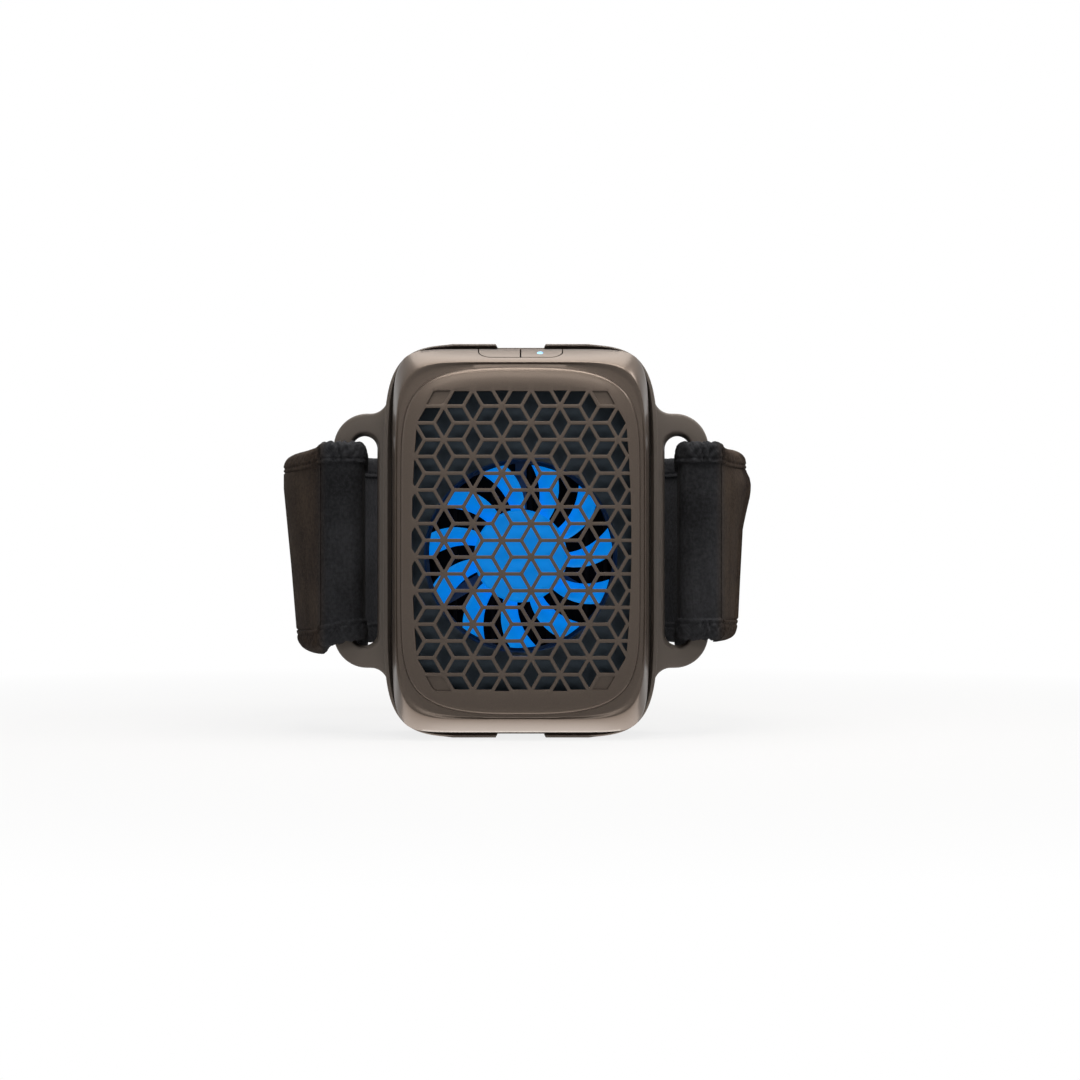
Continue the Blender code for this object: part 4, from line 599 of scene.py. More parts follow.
piece("grille_lattice", *together((np.concatenate(layers), faces), ring_skin(rim, closed=False)), bronze,
      stands_for=["grille_panel"], sharp=28)

# Fan. A slate plate behind the lattice with the fan's round duct, and a blue rotor whose glow is painted: a
# cup hub with eleven swept blades, injection moulded in one. It spins on a steel shaft in a bearing sleeve,
# which a three-armed bracket holds with the motor's coils.
FAN_CENTRE = np.array((0, -0.004))
SHROUD_HALF = (0.0319, 0.0488)
SHROUD_DEPTH = 0.0061
SHROUD_THICKNESS = 0.0012
DUCT_RADIUS = 0.0252
DUCT_WALL = 0.001
DUCT_DEPTH = 0.0145
DUCT_MOUTH = 0.0005
HUB_RADIUS = 0.0122
HUB_FRONT = 0.0068
HUB_BACK = 0.014
HUB_WALL = 0.0012
HUB_EDGE = 0.0008
BLADE_COUNT = 11
BLADE_TIP = 0.0242
BLADE_THICKNESS = 0.0009
BLADE_FRONT = 0.0077
BLADE_PITCH_DEPTH = 0.0044
BLADE_WIDTH_ANGLE = radians(17)
BLADE_ROOT_ANGLE = radians(28)
BLADE_SWEEP_ANGLE = radians(14.5)
BLADE_SWEEP_POWER = 1.6
BLADE_ROOT_SINK = 0.0005
BLADE_CAMBER = 0.0004
BLADE_SPAN_STEPS = 14
BLADE_CHORD_STEPS = 12
HUB_DIMPLE = ((0.0030, 0.00015), (0.0034, 0))
TONE_DRIFT = 0.012
FLOW_LENGTH = 0.006


def moulded(name, tint, rough, spark, peel_depth, **settings):
    """Moulded plastic or a blasted or sintered face: a fine grain as bump, faint tone and gloss change."""
    made, tree, shader, coords = material(name, tint, Roughness=rough, **settings)
    grain = add(tree, "TexNoise", [(coords, "Vector")], Scale=1 / spark, Detail=3.0, Roughness=0.6)
    drift = add(tree, "TexNoise", [(coords, "Vector")], Scale=1 / TONE_DRIFT, Detail=2.0)
    vary(tree, shader, gloss=(drift, rough - 0.04, rough + 0.05),
         tints=(grain, toned(tint, 0.86), toned(tint, 1.14)), relief=(grain, 0.35, peel_depth))
    return made


def circle(radius, centre, steps=96):
    """A circle in X and Z, counter-clockwise from the right."""
    turn = np.arange(steps) / steps * tau
    return np.column_stack([centre[0] + radius * np.cos(turn), centre[1] + radius * np.sin(turn)])


def turned(profile, centre, closed=True, steps=96):
    """Points and faces of a profile of radius and depth carried round the depth axis."""
    return ring_skin([at_depth(circle(radius, centre, steps), depth) for radius, depth in profile],
                     closed=closed, caps=(not closed, not closed))


def plate_with_holes(outline, holes, front, back):
    """Points and faces of a flat plate between two depths, with its holes' walls and its edge."""
    points, skin, starts = filled([outline, *holes])
    count = len(points)
    faces = skin + [[corner + count for corner in face[::-1]] for face in skin]
    for start, end in zip(starts, starts[1:]):
        ring = np.arange(start, end)
        after = np.roll(ring, -1)
        faces += np.column_stack([ring, after, after + count, ring + count]).tolist()
    return np.concatenate(at_depths(points, front, back)), faces


def blades():
    """Every blade as a closed skin: radius by span, angle by chord with sweep, depth by pitch and camber."""
    span = np.linspace(0, 1, BLADE_SPAN_STEPS)[:, None]
    there = np.linspace(-0.5, 0.5, BLADE_CHORD_STEPS)
    chord = np.concatenate([there, -there])[None, :]
    face = np.repeat([0.0, 1.0], BLADE_CHORD_STEPS)[None, :]
    root = HUB_RADIUS - BLADE_ROOT_SINK
    radius = root + (BLADE_TIP - root) * span
    skins = []
    for number in range(BLADE_COUNT):
        start = BLADE_ROOT_ANGLE + tau * number / BLADE_COUNT
        turn = (start + BLADE_SWEEP_ANGLE * span ** BLADE_SWEEP_POWER
                + BLADE_WIDTH_ANGLE * chord * (1 - 0.06 * span ** 6))
        edge = 1 - (2 * np.abs(chord)) ** 6 * 0.6
        depth = (BLADE_FRONT + BLADE_PITCH_DEPTH * (chord + 0.5) - BLADE_CAMBER * (1 - 4 * chord ** 2)
                 + BLADE_THICKNESS * (0.5 + (face - 0.5) * edge))
        skin = np.stack(np.broadcast_arrays(FAN_CENTRE[0] + radius * np.cos(turn), depth,
                                            FAN_CENTRE[1] + radius * np.sin(turn)), -1)
        skins.append(solid_skin(list(skin)))
    return together(*skins)


# Slate ABS: a dull blue-grey ground that stays dark behind the lattice.
slate = moulded("slate_abs", "#48545f", 0.6, 0.00035, 0.00003, IOR=1.54, Specular_IOR_Level=0.12)
duct_profile = [(DUCT_RADIUS + DUCT_WALL, SHROUD_DEPTH + SHROUD_THICKNESS - SKIN_STEP),
                (DUCT_RADIUS + DUCT_WALL, DUCT_DEPTH), (DUCT_RADIUS, DUCT_DEPTH),
                (DUCT_RADIUS, SHROUD_DEPTH + DUCT_MOUTH)]
duct_profile += [(DUCT_RADIUS + drop, SHROUD_DEPTH + inward)
                 for inward, drop in round_off(DUCT_MOUTH, rounding)]
duct_profile.append((DUCT_RADIUS + DUCT_MOUTH + SKIN_STEP, SHROUD_DEPTH + 3 * SKIN_STEP))
piece("fan_duct", *turned(duct_profile, FAN_CENTRE), slate, stands_for=["fan_shroud"])
shroud = plate_with_holes(oval(SHROUD_HALF, BEZEL_POWER), [circle(DUCT_RADIUS + DUCT_MOUTH, FAN_CENTRE)],
                          SHROUD_DEPTH, SHROUD_DEPTH + SHROUD_THICKNESS)
shroud = piece("fan_plate", *shroud, slate, stands_for=["fan_shroud"])
cut(shroud, [button_cutter("notch", side, 2 * BUTTON_GAP, -BUTTON_POCKET - SEAT_GAP) for side in (-1, 1)])

# Blue ABS with a painted glow: emission keeps it saturated and bright though the rotor is no lamp,
# with streaks of flow in the colour.
fan_blue, tree, shader, coords = material("blue_translucent_abs", "#14a0ff", Roughness=0.36, IOR=1.54,
                                          Specular_IOR_Level=0.15, Emission_Strength=0.46)
# Painted glow: the rotor gives off this blue although it is no lamp.
shader.inputs["Emission Color"].default_value = linear("#0896ff")
flow = add(tree, "TexNoise", [(coords, "Vector")], Scale=1 / FLOW_LENGTH, Detail=2.0)
vary(tree, shader, tints=(flow, linear("#0684ea"), linear("#0e9cff")))
turns = np.linspace(0, pi / 2, 7)
hub = [(radius, HUB_FRONT + sunk) for radius, sunk in HUB_DIMPLE]
hub += [(HUB_RADIUS - inward, HUB_FRONT + drop) for inward, drop in round_off(HUB_EDGE, turns)]
hub += [(HUB_RADIUS, HUB_BACK), (HUB_RADIUS - HUB_WALL, HUB_BACK),
        (HUB_RADIUS - HUB_WALL, HUB_FRONT + HUB_WALL)]
piece("fan_hub_and_blades", *together(turned(hub, FAN_CENTRE, closed=False), blades()), fan_blue,
      body="fan", stands_for=["fan_rotor"], sharp=35)


def steel_like(name, tint, rough, pitch, stretch):
    """Machined, drawn or plated metal: fine lines along one way, or an even grain, that vary the gloss."""
    made, tree, shader, coords = material(name, tint, Metallic=1.0, Roughness=rough)
    place = add(tree, "Mapping", [(coords, "Vector")], Scale=stretch)
    lines = add(tree, "TexNoise", [(place, "Vector")], Scale=1 / pitch, Detail=3.0)
    vary(tree, shader, gloss=(lines, rough - 0.07, rough + 0.09), relief=(lines, 0.15, 0.00001))
    return made


def dress(finish, *names):
    """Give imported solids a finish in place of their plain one."""
    for name in names:
        for slot in bpy.data.objects[name].material_slots:
            slot.material = finish


# The shaft is bright with lines along it, the bearing a matt yellow-brown, the coils a glossy red-brown.
dress(slate, "motor_bracket")
dress(steel_like("ground_steel", "#b9bcc0", 0.25, 0.0002, (1, 0.1, 1)), "fan_shaft")
dress(steel_like("sintered_bronze", "#a8824b", 0.42, 0.0003, (1, 1, 1)), "fan_bearing")
dress(steel_like("enamelled_copper_wire", "#a4552f", 0.32, 0.0003, (0.2, 3, 0.2)), "fan_stator")

# Rear shell. One dark moulding with a fine satin grain: a lip round the bezel, a land at the top and the
# bottom where the lip is left out, and two swept strap loops with rounded edges. Four screws hold it to
# the bezel's posts, and a metal-lined charge port opens in the lower land.
SHELL_HALF = (0.0364, 0.0521)
SHELL_POWER = 6
SHELL_FLAT = 0.018
SHELL_FRONT = 0.012
SHELL_BACK = 0.0368
SHELL_ROUNDING = 0.002
SHELL_BACK_WALL = 0.0022
SHELL_SIDE_WALL = 0.0019
LIP_WALL = 0.0008
LIP_EDGE = 0.00025
SKIRT_SEAT = 0.0015
STEP_DEPTH = SKIRT_DEPTH + SEAT_GAP
LIP_SLOPE = 0.0013
LIP_FLAT = 0.6
LAND_DROP = 0.0008
LAND_WALL = 0.0014
NOTCH_HALF = 0.0062
NOTCH_SLANT = 0.001
WINDOW_HALF = (0.0242, 0.0342)
WINDOW_POWER = 12
LOOP_HALF_SPAN = 0.0503
LOOP_HALF_HEIGHT = 0.034
LOOP_CORNER = 0.009
LOOP_FILLET = 0.0046
LOOP_ROOT = 0.0346
LOOP_SIDE = 0.03545
LOOP_THICKNESS = 0.005
LOOP_FRONT = 0.0172
LOOP_SWEEP = radians(15)
LOOP_ROUNDING = 0.0007
SLOT_X = (0.0379, 0.0455)
SLOT_HALF_HEIGHT = 0.0288
SLOT_RADIUS = 0.0035
SLOT_DRAFT = 0.0008
SCREW_PLACES = [(x, z) for z in (0.0472, -0.0472) for x in (0.0222, -0.0222)]
SCREW_HEAD_GAP = 0.0021
SCREW_SHANK_GAP = 0.0012
SCREW_SEAT = 0.0355
SCREW_STEPS = 40
PORT_HALF = (0.00447, 0.0016)
PORT_DEPTH = 0.0205
PORT_GAP = 0.0003
PORT_MOUTH = -0.0509
PORT_LENGTH = 0.0066
PORT_HOLE_ROUND = 0.98
CUT_MARGIN = 0.001
SHELL_TURN_STEPS = 400
SHELL_STEPS = 88
FLAT_BLEND = 1.13


def shell_ring(half, power=SHELL_POWER):
    """Outline with flats in the middle of its top and bottom, and an oval of one power between them."""
    turn = np.linspace(0.5, 0, SHELL_TURN_STEPS) * pi
    curve = np.column_stack([half[0] * np.cos(turn) ** (2 / power), half[1] * np.sin(turn) ** (2 / power)])
    flat = SHELL_FLAT / SHELL_HALF[0] * half[0]
    curve = np.concatenate([[(flat, half[1])], curve[curve[:, 0] > flat * FLAT_BLEND]])
    quarter = points_at(curve, np.linspace(0, run_of(curve)[-1], SHELL_STEPS))
    right = np.concatenate([quarter, quarter[-2::-1] * (1, -1)])
    return np.concatenate([right, -right])


def front_edge(half, power, radius, depth, turns):
    """Rings over an edge that a quarter circle rounds, from the face at a depth back to the side."""
    return [at_depth(shell_ring(inset(half, inward), power), depth + drop)
            for inward, drop in round_off(radius, turns)]


def back_edge(half, power, radius, depth, turns):
    """Rings over an edge that a quarter circle rounds, from the side back to the face at a depth."""
    return [at_depth(shell_ring(inset(half, drop), power), depth - inward)
            for inward, drop in round_off(radius, turns)]


def box_between(name, outline, front, back):
    """A straight piece with one X and Z outline between two depths, for cutting and joining."""
    return piece(name, *solid_skin(at_depths(outline, front, back)), satin_black, body=None)


def notch(side, growth, top):
    """The land's trapezoid: narrow at the land, wider at the lip, and grown outward by a wall."""
    land, low = SHELL_HALF[1] - LAND_DROP - growth, NOTCH_HALF + growth
    high = low + NOTCH_SLANT
    return np.array([(-low, side * land), (low, side * land), (high, side * top), (-high, side * top)])


def slot_ring(half, radius, height, steps=9):
    """The charge port's rounded slot in X and depth, as a level ring at one height."""
    corners = [(half[0] - radius, half[1] - radius), (radius - half[0], half[1] - radius),
               (radius - half[0], radius - half[1]), (half[0] - radius, radius - half[1])]
    turn = np.linspace(0, pi / 2, steps)
    ring = [np.column_stack([x + radius * np.cos(turn + quarter * pi / 2),
                             PORT_DEPTH + y + radius * np.sin(turn + quarter * pi / 2),
                             np.full(steps, height)]) for quarter, (x, y) in enumerate(corners)]
    return np.concatenate(ring)


def loop_front(x):
    """Depth of a strap loop's front face at a distance from the middle."""
    return LOOP_FRONT + tan(LOOP_SWEEP) * (np.abs(x) - SHELL_HALF[0])


def strap_loop(side):
    """A swept loop: its outer edge and its slot as rings, both rounded by quarter circles, front to back."""
    def arc(x, z, radius, start, end, count=14):
        turn = np.linspace(start, end, count) * pi
        return np.column_stack([x + radius * np.cos(turn), z + radius * np.sin(turn)])

    def edge(outer, by, drop):
        if outer:
            top = LOOP_HALF_HEIGHT + LOOP_FILLET
            upper = np.concatenate([
                [(LOOP_ROOT, top)], arc(LOOP_SIDE + LOOP_FILLET, top, LOOP_FILLET + by, 1, 1.5),
                arc(LOOP_HALF_SPAN - LOOP_CORNER, LOOP_HALF_HEIGHT - LOOP_CORNER, LOOP_CORNER - by, 0.5, 0)])
        else:
            draft = SLOT_DRAFT * drop / LOOP_THICKNESS
            top = SLOT_HALF_HEIGHT - SLOT_RADIUS - draft
            upper = np.concatenate([arc(SLOT_X[0] + SLOT_RADIUS + draft, top, SLOT_RADIUS + by, 1, 0.5, 15),
                                    arc(SLOT_X[1] - SLOT_RADIUS, top, SLOT_RADIUS + by, 0.5, 0, 14)])
        return np.concatenate([upper, upper[::-1] * (1, -1)])

    rounds = round_off(LOOP_ROUNDING, np.linspace(0, pi / 2, 5))
    rings = []
    for outer in (True, False):
        levels = rounds + [(by, LOOP_THICKNESS - drop) for by, drop in rounds[::-1]]
        for by, drop in levels if outer else levels[::-1]:
            x, z = edge(outer, by, drop).T
            rings.append(np.column_stack([side * x, loop_front(x) + drop, z]))
    return ring_skin(rings)


# Satin ABS: a warm dark grey without highlights, and a grain that only shows up close.
satin_black = moulded("satin_grained_abs", "#4e4843", 0.5, 0.00022, 0.00003, IOR=1.54, Specular_IOR_Level=0.2)
rings = front_edge(SHELL_HALF, SHELL_POWER, LIP_EDGE, SHELL_FRONT, turns[::2])
rings += back_edge(SHELL_HALF, SHELL_POWER, SHELL_ROUNDING, SHELL_BACK, turns)
window = shell_ring(WINDOW_HALF, WINDOW_POWER)
cavity = shell_ring((SHELL_HALF[0] - SHELL_SIDE_WALL - SKIRT_SEAT, SHELL_HALF[1] - LIP_WALL - SEAT_GAP))
mouth = shell_ring((SHELL_HALF[0] - SHELL_SIDE_WALL, SHELL_HALF[1] - LIP_WALL), BEZEL_POWER)
wall_front = SHELL_BACK - SHELL_BACK_WALL
rings += at_depths(window, SHELL_BACK, wall_front) + at_depths(cavity, wall_front, STEP_DEPTH)
rings += at_depths(mouth, STEP_DEPTH, SHELL_FRONT + LIP_SLOPE)
rings += at_depths(mouth + (shell_ring(SHELL_HALF) - mouth) * (1 - LIP_FLAT), SHELL_FRONT)
shell = piece("rear_housing", *ring_skin(rings), satin_black, stands_for=["rear_shell"])
for side in (1, -1):
    cut(shell, [box_between("land_floor", notch(side, LAND_WALL, SHELL_HALF[1] - LIP_WALL / 2),
                            STEP_DEPTH + SEAT_GAP, wall_front + SHELL_BACK_WALL / 2)], "UNION")
cutters = [box_between("notch", notch(side, 0, SHELL_HALF[1] + CUT_MARGIN), SHELL_FRONT - CUT_MARGIN,
                       SHELL_BACK + CUT_MARGIN) for side in (1, -1)]
for place in SCREW_PLACES:
    profile = [(SCREW_HEAD_GAP, SHELL_BACK + CUT_MARGIN), (SCREW_HEAD_GAP, SCREW_SEAT),
               (SCREW_SHANK_GAP, SCREW_SEAT), (SCREW_SHANK_GAP, wall_front - CUT_MARGIN)]
    cutters.append(piece("screw_hole", *turned(profile, place, closed=False, steps=SCREW_STEPS), satin_black,
                         body=None))
hole = inset(PORT_HALF, -PORT_GAP)
rings = [slot_ring(hole, hole[1] * PORT_HOLE_ROUND, height)
         for height in (PORT_MOUTH - 2 * CUT_MARGIN, PORT_MOUTH + PORT_LENGTH)]
cutters.append(piece("port_hole", *solid_skin(rings), satin_black, body=None))
cut(shell, cutters)
for word, side in (("right", 1), ("left", -1)):
    piece(f"strap_loop_{word}", *strap_loop(side), satin_black, stands_for=["rear_shell"])

# Back of the housing. The bead-blasted and clear anodised plate that warms or cools the skin, with a
# softened edge, on its black silicone seal, and the four plated pan-head screws with cross recesses.
PLATE_HALF = (0.028, 0.042)
PLATE_POWER = 6
PLATE_FRONT = 0.0383
PLATE_BACK = 0.0416
PLATE_ROUNDING = 0.0008
SEAL_FRONT = 0.0371
SEAL_BACK = 0.038
SEAL_INSET = 0.0012
BOSS_HALF = (0.0236, 0.0336)
PAD_FRONT = 0.0313
SCREW_HEAD = 0.0018
SCREW_SHANK = 0.0009
SCREW_FACE = 0.03665
SCREW_HEAD_DEPTH = 0.0358
SCREW_END = 0.0253
RECESS_HALF = 0.00095
RECESS_WIDTH = 0.00017
RECESS_TAPER = 0.35
RECESS_DEPTH = 0.0008
PLATE_FRONT_ROUNDING = 0.4 * PLATE_ROUNDING
BOSS_PLAY = 0.0003
BOSS_END = PAD_FRONT + 0.0006
SEAL_ROUNDING = 0.00045
SCREW_TIP = 0.0003
SCREW_POINT = 0.0006
SCREW_DOME = 0.0003
FIRST_SPIN = 17
SPIN_STEP = 31

# Blasted aluminium is an even, soft grey sheen, silicone a dull black, and zinc plate bright and bluish.
anodised = moulded("bead_blasted_anodised_aluminium", "#a9a9ac", 0.36, 0.00012, 0.00002, Metallic=1.0)
silicone = moulded("moulded_silicone", "#141416", 0.62, 0.0004, 0.00002, IOR=1.41)
plated = steel_like("zinc_plated_steel", "#c4c6c8", 0.24, 0.00025, (1, 1, 1))
rings = front_edge(PLATE_HALF, PLATE_POWER, PLATE_FRONT_ROUNDING, PLATE_FRONT, turns[::2])
rings += back_edge(PLATE_HALF, PLATE_POWER, PLATE_ROUNDING, PLATE_BACK, turns)
boss = shell_ring(BOSS_HALF, WINDOW_POWER)
plate = ring_skin(at_depths(boss, PLATE_FRONT) + rings, closed=False, caps=(False, True))
foot = ring_skin(at_depths(boss, PLATE_FRONT, BOSS_END), closed=False, caps=(False, True))
piece("skin_contact_plate", *together(plate, foot), anodised, stands_for=["contact_plate"])
seal_out = inset(PLATE_HALF, SEAL_INSET)
rings = [at_depth(shell_ring(inset(seal_out, SEAL_ROUNDING * (1 - sin(turn))), PLATE_POWER),
                  (SEAL_FRONT + SEAL_BACK) / 2 - SEAL_ROUNDING * cos(turn))
         for turn in np.linspace(0, pi, 9)]
rings += at_depths(shell_ring(inset(BOSS_HALF, -BOSS_PLAY), WINDOW_POWER), SEAL_BACK, SEAL_FRONT)
piece("silicone_seal", *ring_skin(rings), silicone, stands_for=["plate_seal"])

for number, (x, z) in enumerate([SCREW_PLACES[0], SCREW_PLACES[1], SCREW_PLACES[3], SCREW_PLACES[2]], 1):
    profile = [(SCREW_TIP, SCREW_END), (SCREW_SHANK, SCREW_END + SCREW_POINT),
               (SCREW_SHANK, SCREW_HEAD_DEPTH), (SCREW_HEAD, SCREW_HEAD_DEPTH)]
    profile += [(SCREW_HEAD - drop, SCREW_FACE - inward)
                for inward, drop in round_off(SCREW_DOME, turns[::2])]
    screw = piece(f"pan_head_screw_{number}", *turned(profile, (x, z), closed=False, steps=SCREW_STEPS),
                  plated, stands_for=[f"housing_screw_{number}"])
    arms = np.array([(1, 1), (1, -1), (-1, -1), (-1, 1)]) * (RECESS_HALF, RECESS_WIDTH)
    tips = arms * (RECESS_TAPER, 1)
    spin = radians(FIRST_SPIN + SPIN_STEP * number)
    rotate = np.array([(cos(spin), sin(spin)), (-sin(spin), cos(spin))])
    crosses = []
    for quarter in (np.eye(2), np.array([(0, 1), (-1, 0)])):
        flats = [arms @ quarter @ rotate + (x, z), tips @ quarter @ rotate + (x, z)]
        rings = [at_depth(flats[0], SCREW_FACE + SKIN_STEP), at_depth(flats[1], SCREW_FACE - RECESS_DEPTH)]
        crosses.append(piece("recess", *solid_skin(rings), plated, body=None))
    cut(screw, crosses)

# Charge port. A drawn steel shell with a rounded mouth and a black tongue with plated contacts inside,
# pressed through the hole in the lower land.
PORT_WALL = 0.0003
TONGUE_HALF = (0.0032, 0.00035)
TONGUE_REACH = 0.0052
CONTACT_COUNT = 12
CONTACT_PITCH = 0.0005
CONTACT_HALF = 0.00012
CONTACT_THICKNESS = 0.00005
CONTACT_ENDS = (0.0006, 0.0004)
PORT_BASE = 0.0006
LIP_ROUNDING = 0.00008

outside, inside = PORT_HALF, inset(PORT_HALF, PORT_WALL)
rings = [slot_ring(outside, outside[1] * 0.96, PORT_MOUTH + PORT_LENGTH),
         slot_ring(outside, outside[1] * 0.96, PORT_MOUTH + SKIN_STEP),
         slot_ring(inset(outside, LIP_ROUNDING), outside[1] * 0.93, PORT_MOUTH),
         slot_ring(inset(inside, -LIP_ROUNDING), inside[1], PORT_MOUTH),
         slot_ring(inside, inside[1] * 0.96, PORT_MOUTH + SKIN_STEP),
         slot_ring(inside, inside[1] * 0.96, PORT_MOUTH + PORT_LENGTH - PORT_BASE)]
piece("charge_port_shell", *solid_skin(rings), plated, stands_for=["charge_port"])
top = PORT_MOUTH + PORT_LENGTH - PORT_BASE
# The tongue's polymer is a plain satin black, and the gilt contacts are small warm glints on it.
tongue_black = moulded("liquid_crystal_polymer", "#151515", 0.4, 0.0003, 0.00001, IOR=1.6)
rings = [slot_ring(inset(TONGUE_HALF, SKIN_STEP), TONGUE_HALF[1] * 0.6, top - TONGUE_REACH),
         slot_ring(TONGUE_HALF, TONGUE_HALF[1] * 0.8, top - TONGUE_REACH + SKIN_STEP),
         slot_ring(TONGUE_HALF, TONGUE_HALF[1] * 0.8, top)]
piece("charge_port_tongue", *solid_skin(rings), tongue_black)
gold = steel_like("gold_plated_bronze", "#d9ac4a", 0.22, 0.0002, (1, 1, 0.1))
bars = []
for x in (np.arange(CONTACT_COUNT) - (CONTACT_COUNT - 1) / 2) * CONTACT_PITCH:
    for face in (-1, 1):
        flat = np.array([(-1, 0), (1, 0), (1, 1), (-1, 1)]) * (CONTACT_HALF, CONTACT_THICKNESS)
        flat = flat * (1, face) + (x, PORT_DEPTH + face * TONGUE_HALF[1])
        bars.append(solid_skin([np.column_stack([flat, np.full(4, height)])
                                for height in (top - TONGUE_REACH + CONTACT_ENDS[0], top - CONTACT_ENDS[1])]))
piece("charge_port_contacts", *together(*bars), gold)

# Strap. A flat knit elastic that wraps the limb, passes out through the slot of each loop and folds back
# round the loop's bar. Both edges are turned and stitched into hems that pucker where they bend. It is
# knitted in black, and painted warm light turns it brown on its outermost faces.
STRAP_HALF_HEIGHT = 0.0265
STRAP_EDGE = 0.0018
STRAP_FIELD = 0.0011
HEM_WIDTH = 0.0058
RING_HALF_WIDTH = 0.0495
RING_WIDEST = 0.066
RING_BACK = 0.1124
RING_POWER = 2.3
RING_DROP = 0.0028
RING_SPREAD = 0.025
LEFT_BAG = 0.0020
STRAP_LEAD = 0.003
FOLD_FLARE = radians(38)
FOLD_TAIL = 0.0014
SLUMP_SPAN = (0.011, 0.014)
BAG_REACH = 0.006
PUCKER = 0.00034
PUCKER_CALM = 0.25
PUCKER_SPOT = (0.004, 0.008)
PUCKER_WAVES = (0.0023, 0.0083)
PUCKER_SLANT = 0.25
CREASE_WAVES = (0.0014, 0.0051)
CREASE_SLANT = 0.7
EDGE_PHASE = 1.7
FIELD_MARGIN = 0.0006
HEM_RISE = 0.0004
STITCH_INSET = 0.0013
STITCH_WIDTH = 0.0003
STITCH_DEPTH = 0.0003
FINE_STEP = 0.00028
COARSE_STEP = 0.0009
FUZZ_SPACING = 0.0009
CLOUD_SPACING = 0.016


def resampled(path, step):
    """An open path drawn again with even steps."""
    length = run_of(path)[-1]
    return points_at(path, np.linspace(0, length, max(2, int(round(length / step)) + 1)))


def normals_of(path):
    """Unit normals to the left of a path drawn in X and depth."""
    along = np.gradient(path, axis=0)
    along /= np.linalg.norm(along, axis=1)[:, None]
    return np.column_stack([-along[:, 1], along[:, 0]])


def strap_ring():
    """Right half of the strap: an oval round the limb, an eased lead to the slot, arcs round the bar."""
    turn = np.linspace(0, pi / 2, 400)
    back = np.column_stack([RING_HALF_WIDTH * np.sin(turn) ** (2 / RING_POWER),
                            RING_WIDEST + (RING_BACK - RING_WIDEST) * np.cos(turn) ** (2 / RING_POWER)])
    offset = SEAT_GAP + STRAP_EDGE
    slot_x = SLOT_X[1] - offset
    lead_depth = loop_front(SLOT_X[1]) + LOOP_THICKNESS + STRAP_LEAD
    share = np.linspace(0, 1, 120)[:-1]
    lead = np.column_stack([slot_x + (RING_HALF_WIDTH - slot_x) * (1 + np.cos(share * pi)) / 2,
                            RING_WIDEST + (lead_depth - RING_WIDEST) * share])
    radius = offset + LOOP_ROUNDING
    corner_drop = LOOP_ROUNDING / cos(LOOP_SWEEP)
    facing = LOOP_SWEEP - pi / 2
    bends = []
    for x, start, end in ((SLOT_X[1] + LOOP_ROUNDING, -pi, facing),
                          (LOOP_HALF_SPAN - LOOP_ROUNDING, facing, -FOLD_FLARE)):
        turn = np.linspace(start, end, 40)
        bends.append(np.column_stack([x + radius * np.cos(turn),
                                      loop_front(x) + corner_drop + radius * np.sin(turn)]))
    tail = bends[-1][-1] + FOLD_TAIL * np.array([(sin(FOLD_FLARE), cos(FOLD_FLARE))])
    fine = resampled(np.concatenate([lead[-40:], [(slot_x, lead_depth)], *bends, tail]), FINE_STEP)
    return np.concatenate([resampled(np.concatenate([back, lead[:-40]]), COARSE_STEP), fine])


def eased(share):
    """Smooth step from 0 to 1, s = t^2 (3 - 2 t), of a share that is clipped first."""
    share = np.clip(share, 0, 1)
    return share * share * (3 - 2 * share)


def strap_section(half_height, edge, field, hem, stitch):
    """Heights and half thicknesses from the lower edge to the upper: a field, a stitch groove, a hem."""
    inner = half_height - hem
    upper = np.concatenate([np.linspace(0, inner - FIELD_MARGIN, 12)[:-1],
                            np.linspace(inner - FIELD_MARGIN, half_height - edge, 20)[:-1],
                            half_height - edge + edge * np.sin(np.linspace(0, pi / 2, 7))])
    height = np.concatenate([-upper[:0:-1], upper])
    thick = field + (edge - field) * eased((np.abs(height) - inner) / HEM_RISE)
    thick *= np.sqrt(np.clip(1 - (np.clip(np.abs(height) - half_height + edge, 0, None) / edge) ** 2, 0, 1))
    groove = stitch * np.exp(-((np.abs(height) - inner - STITCH_INSET) / STITCH_WIDTH) ** 2)
    return height, np.clip(thick - groove, 0, None)


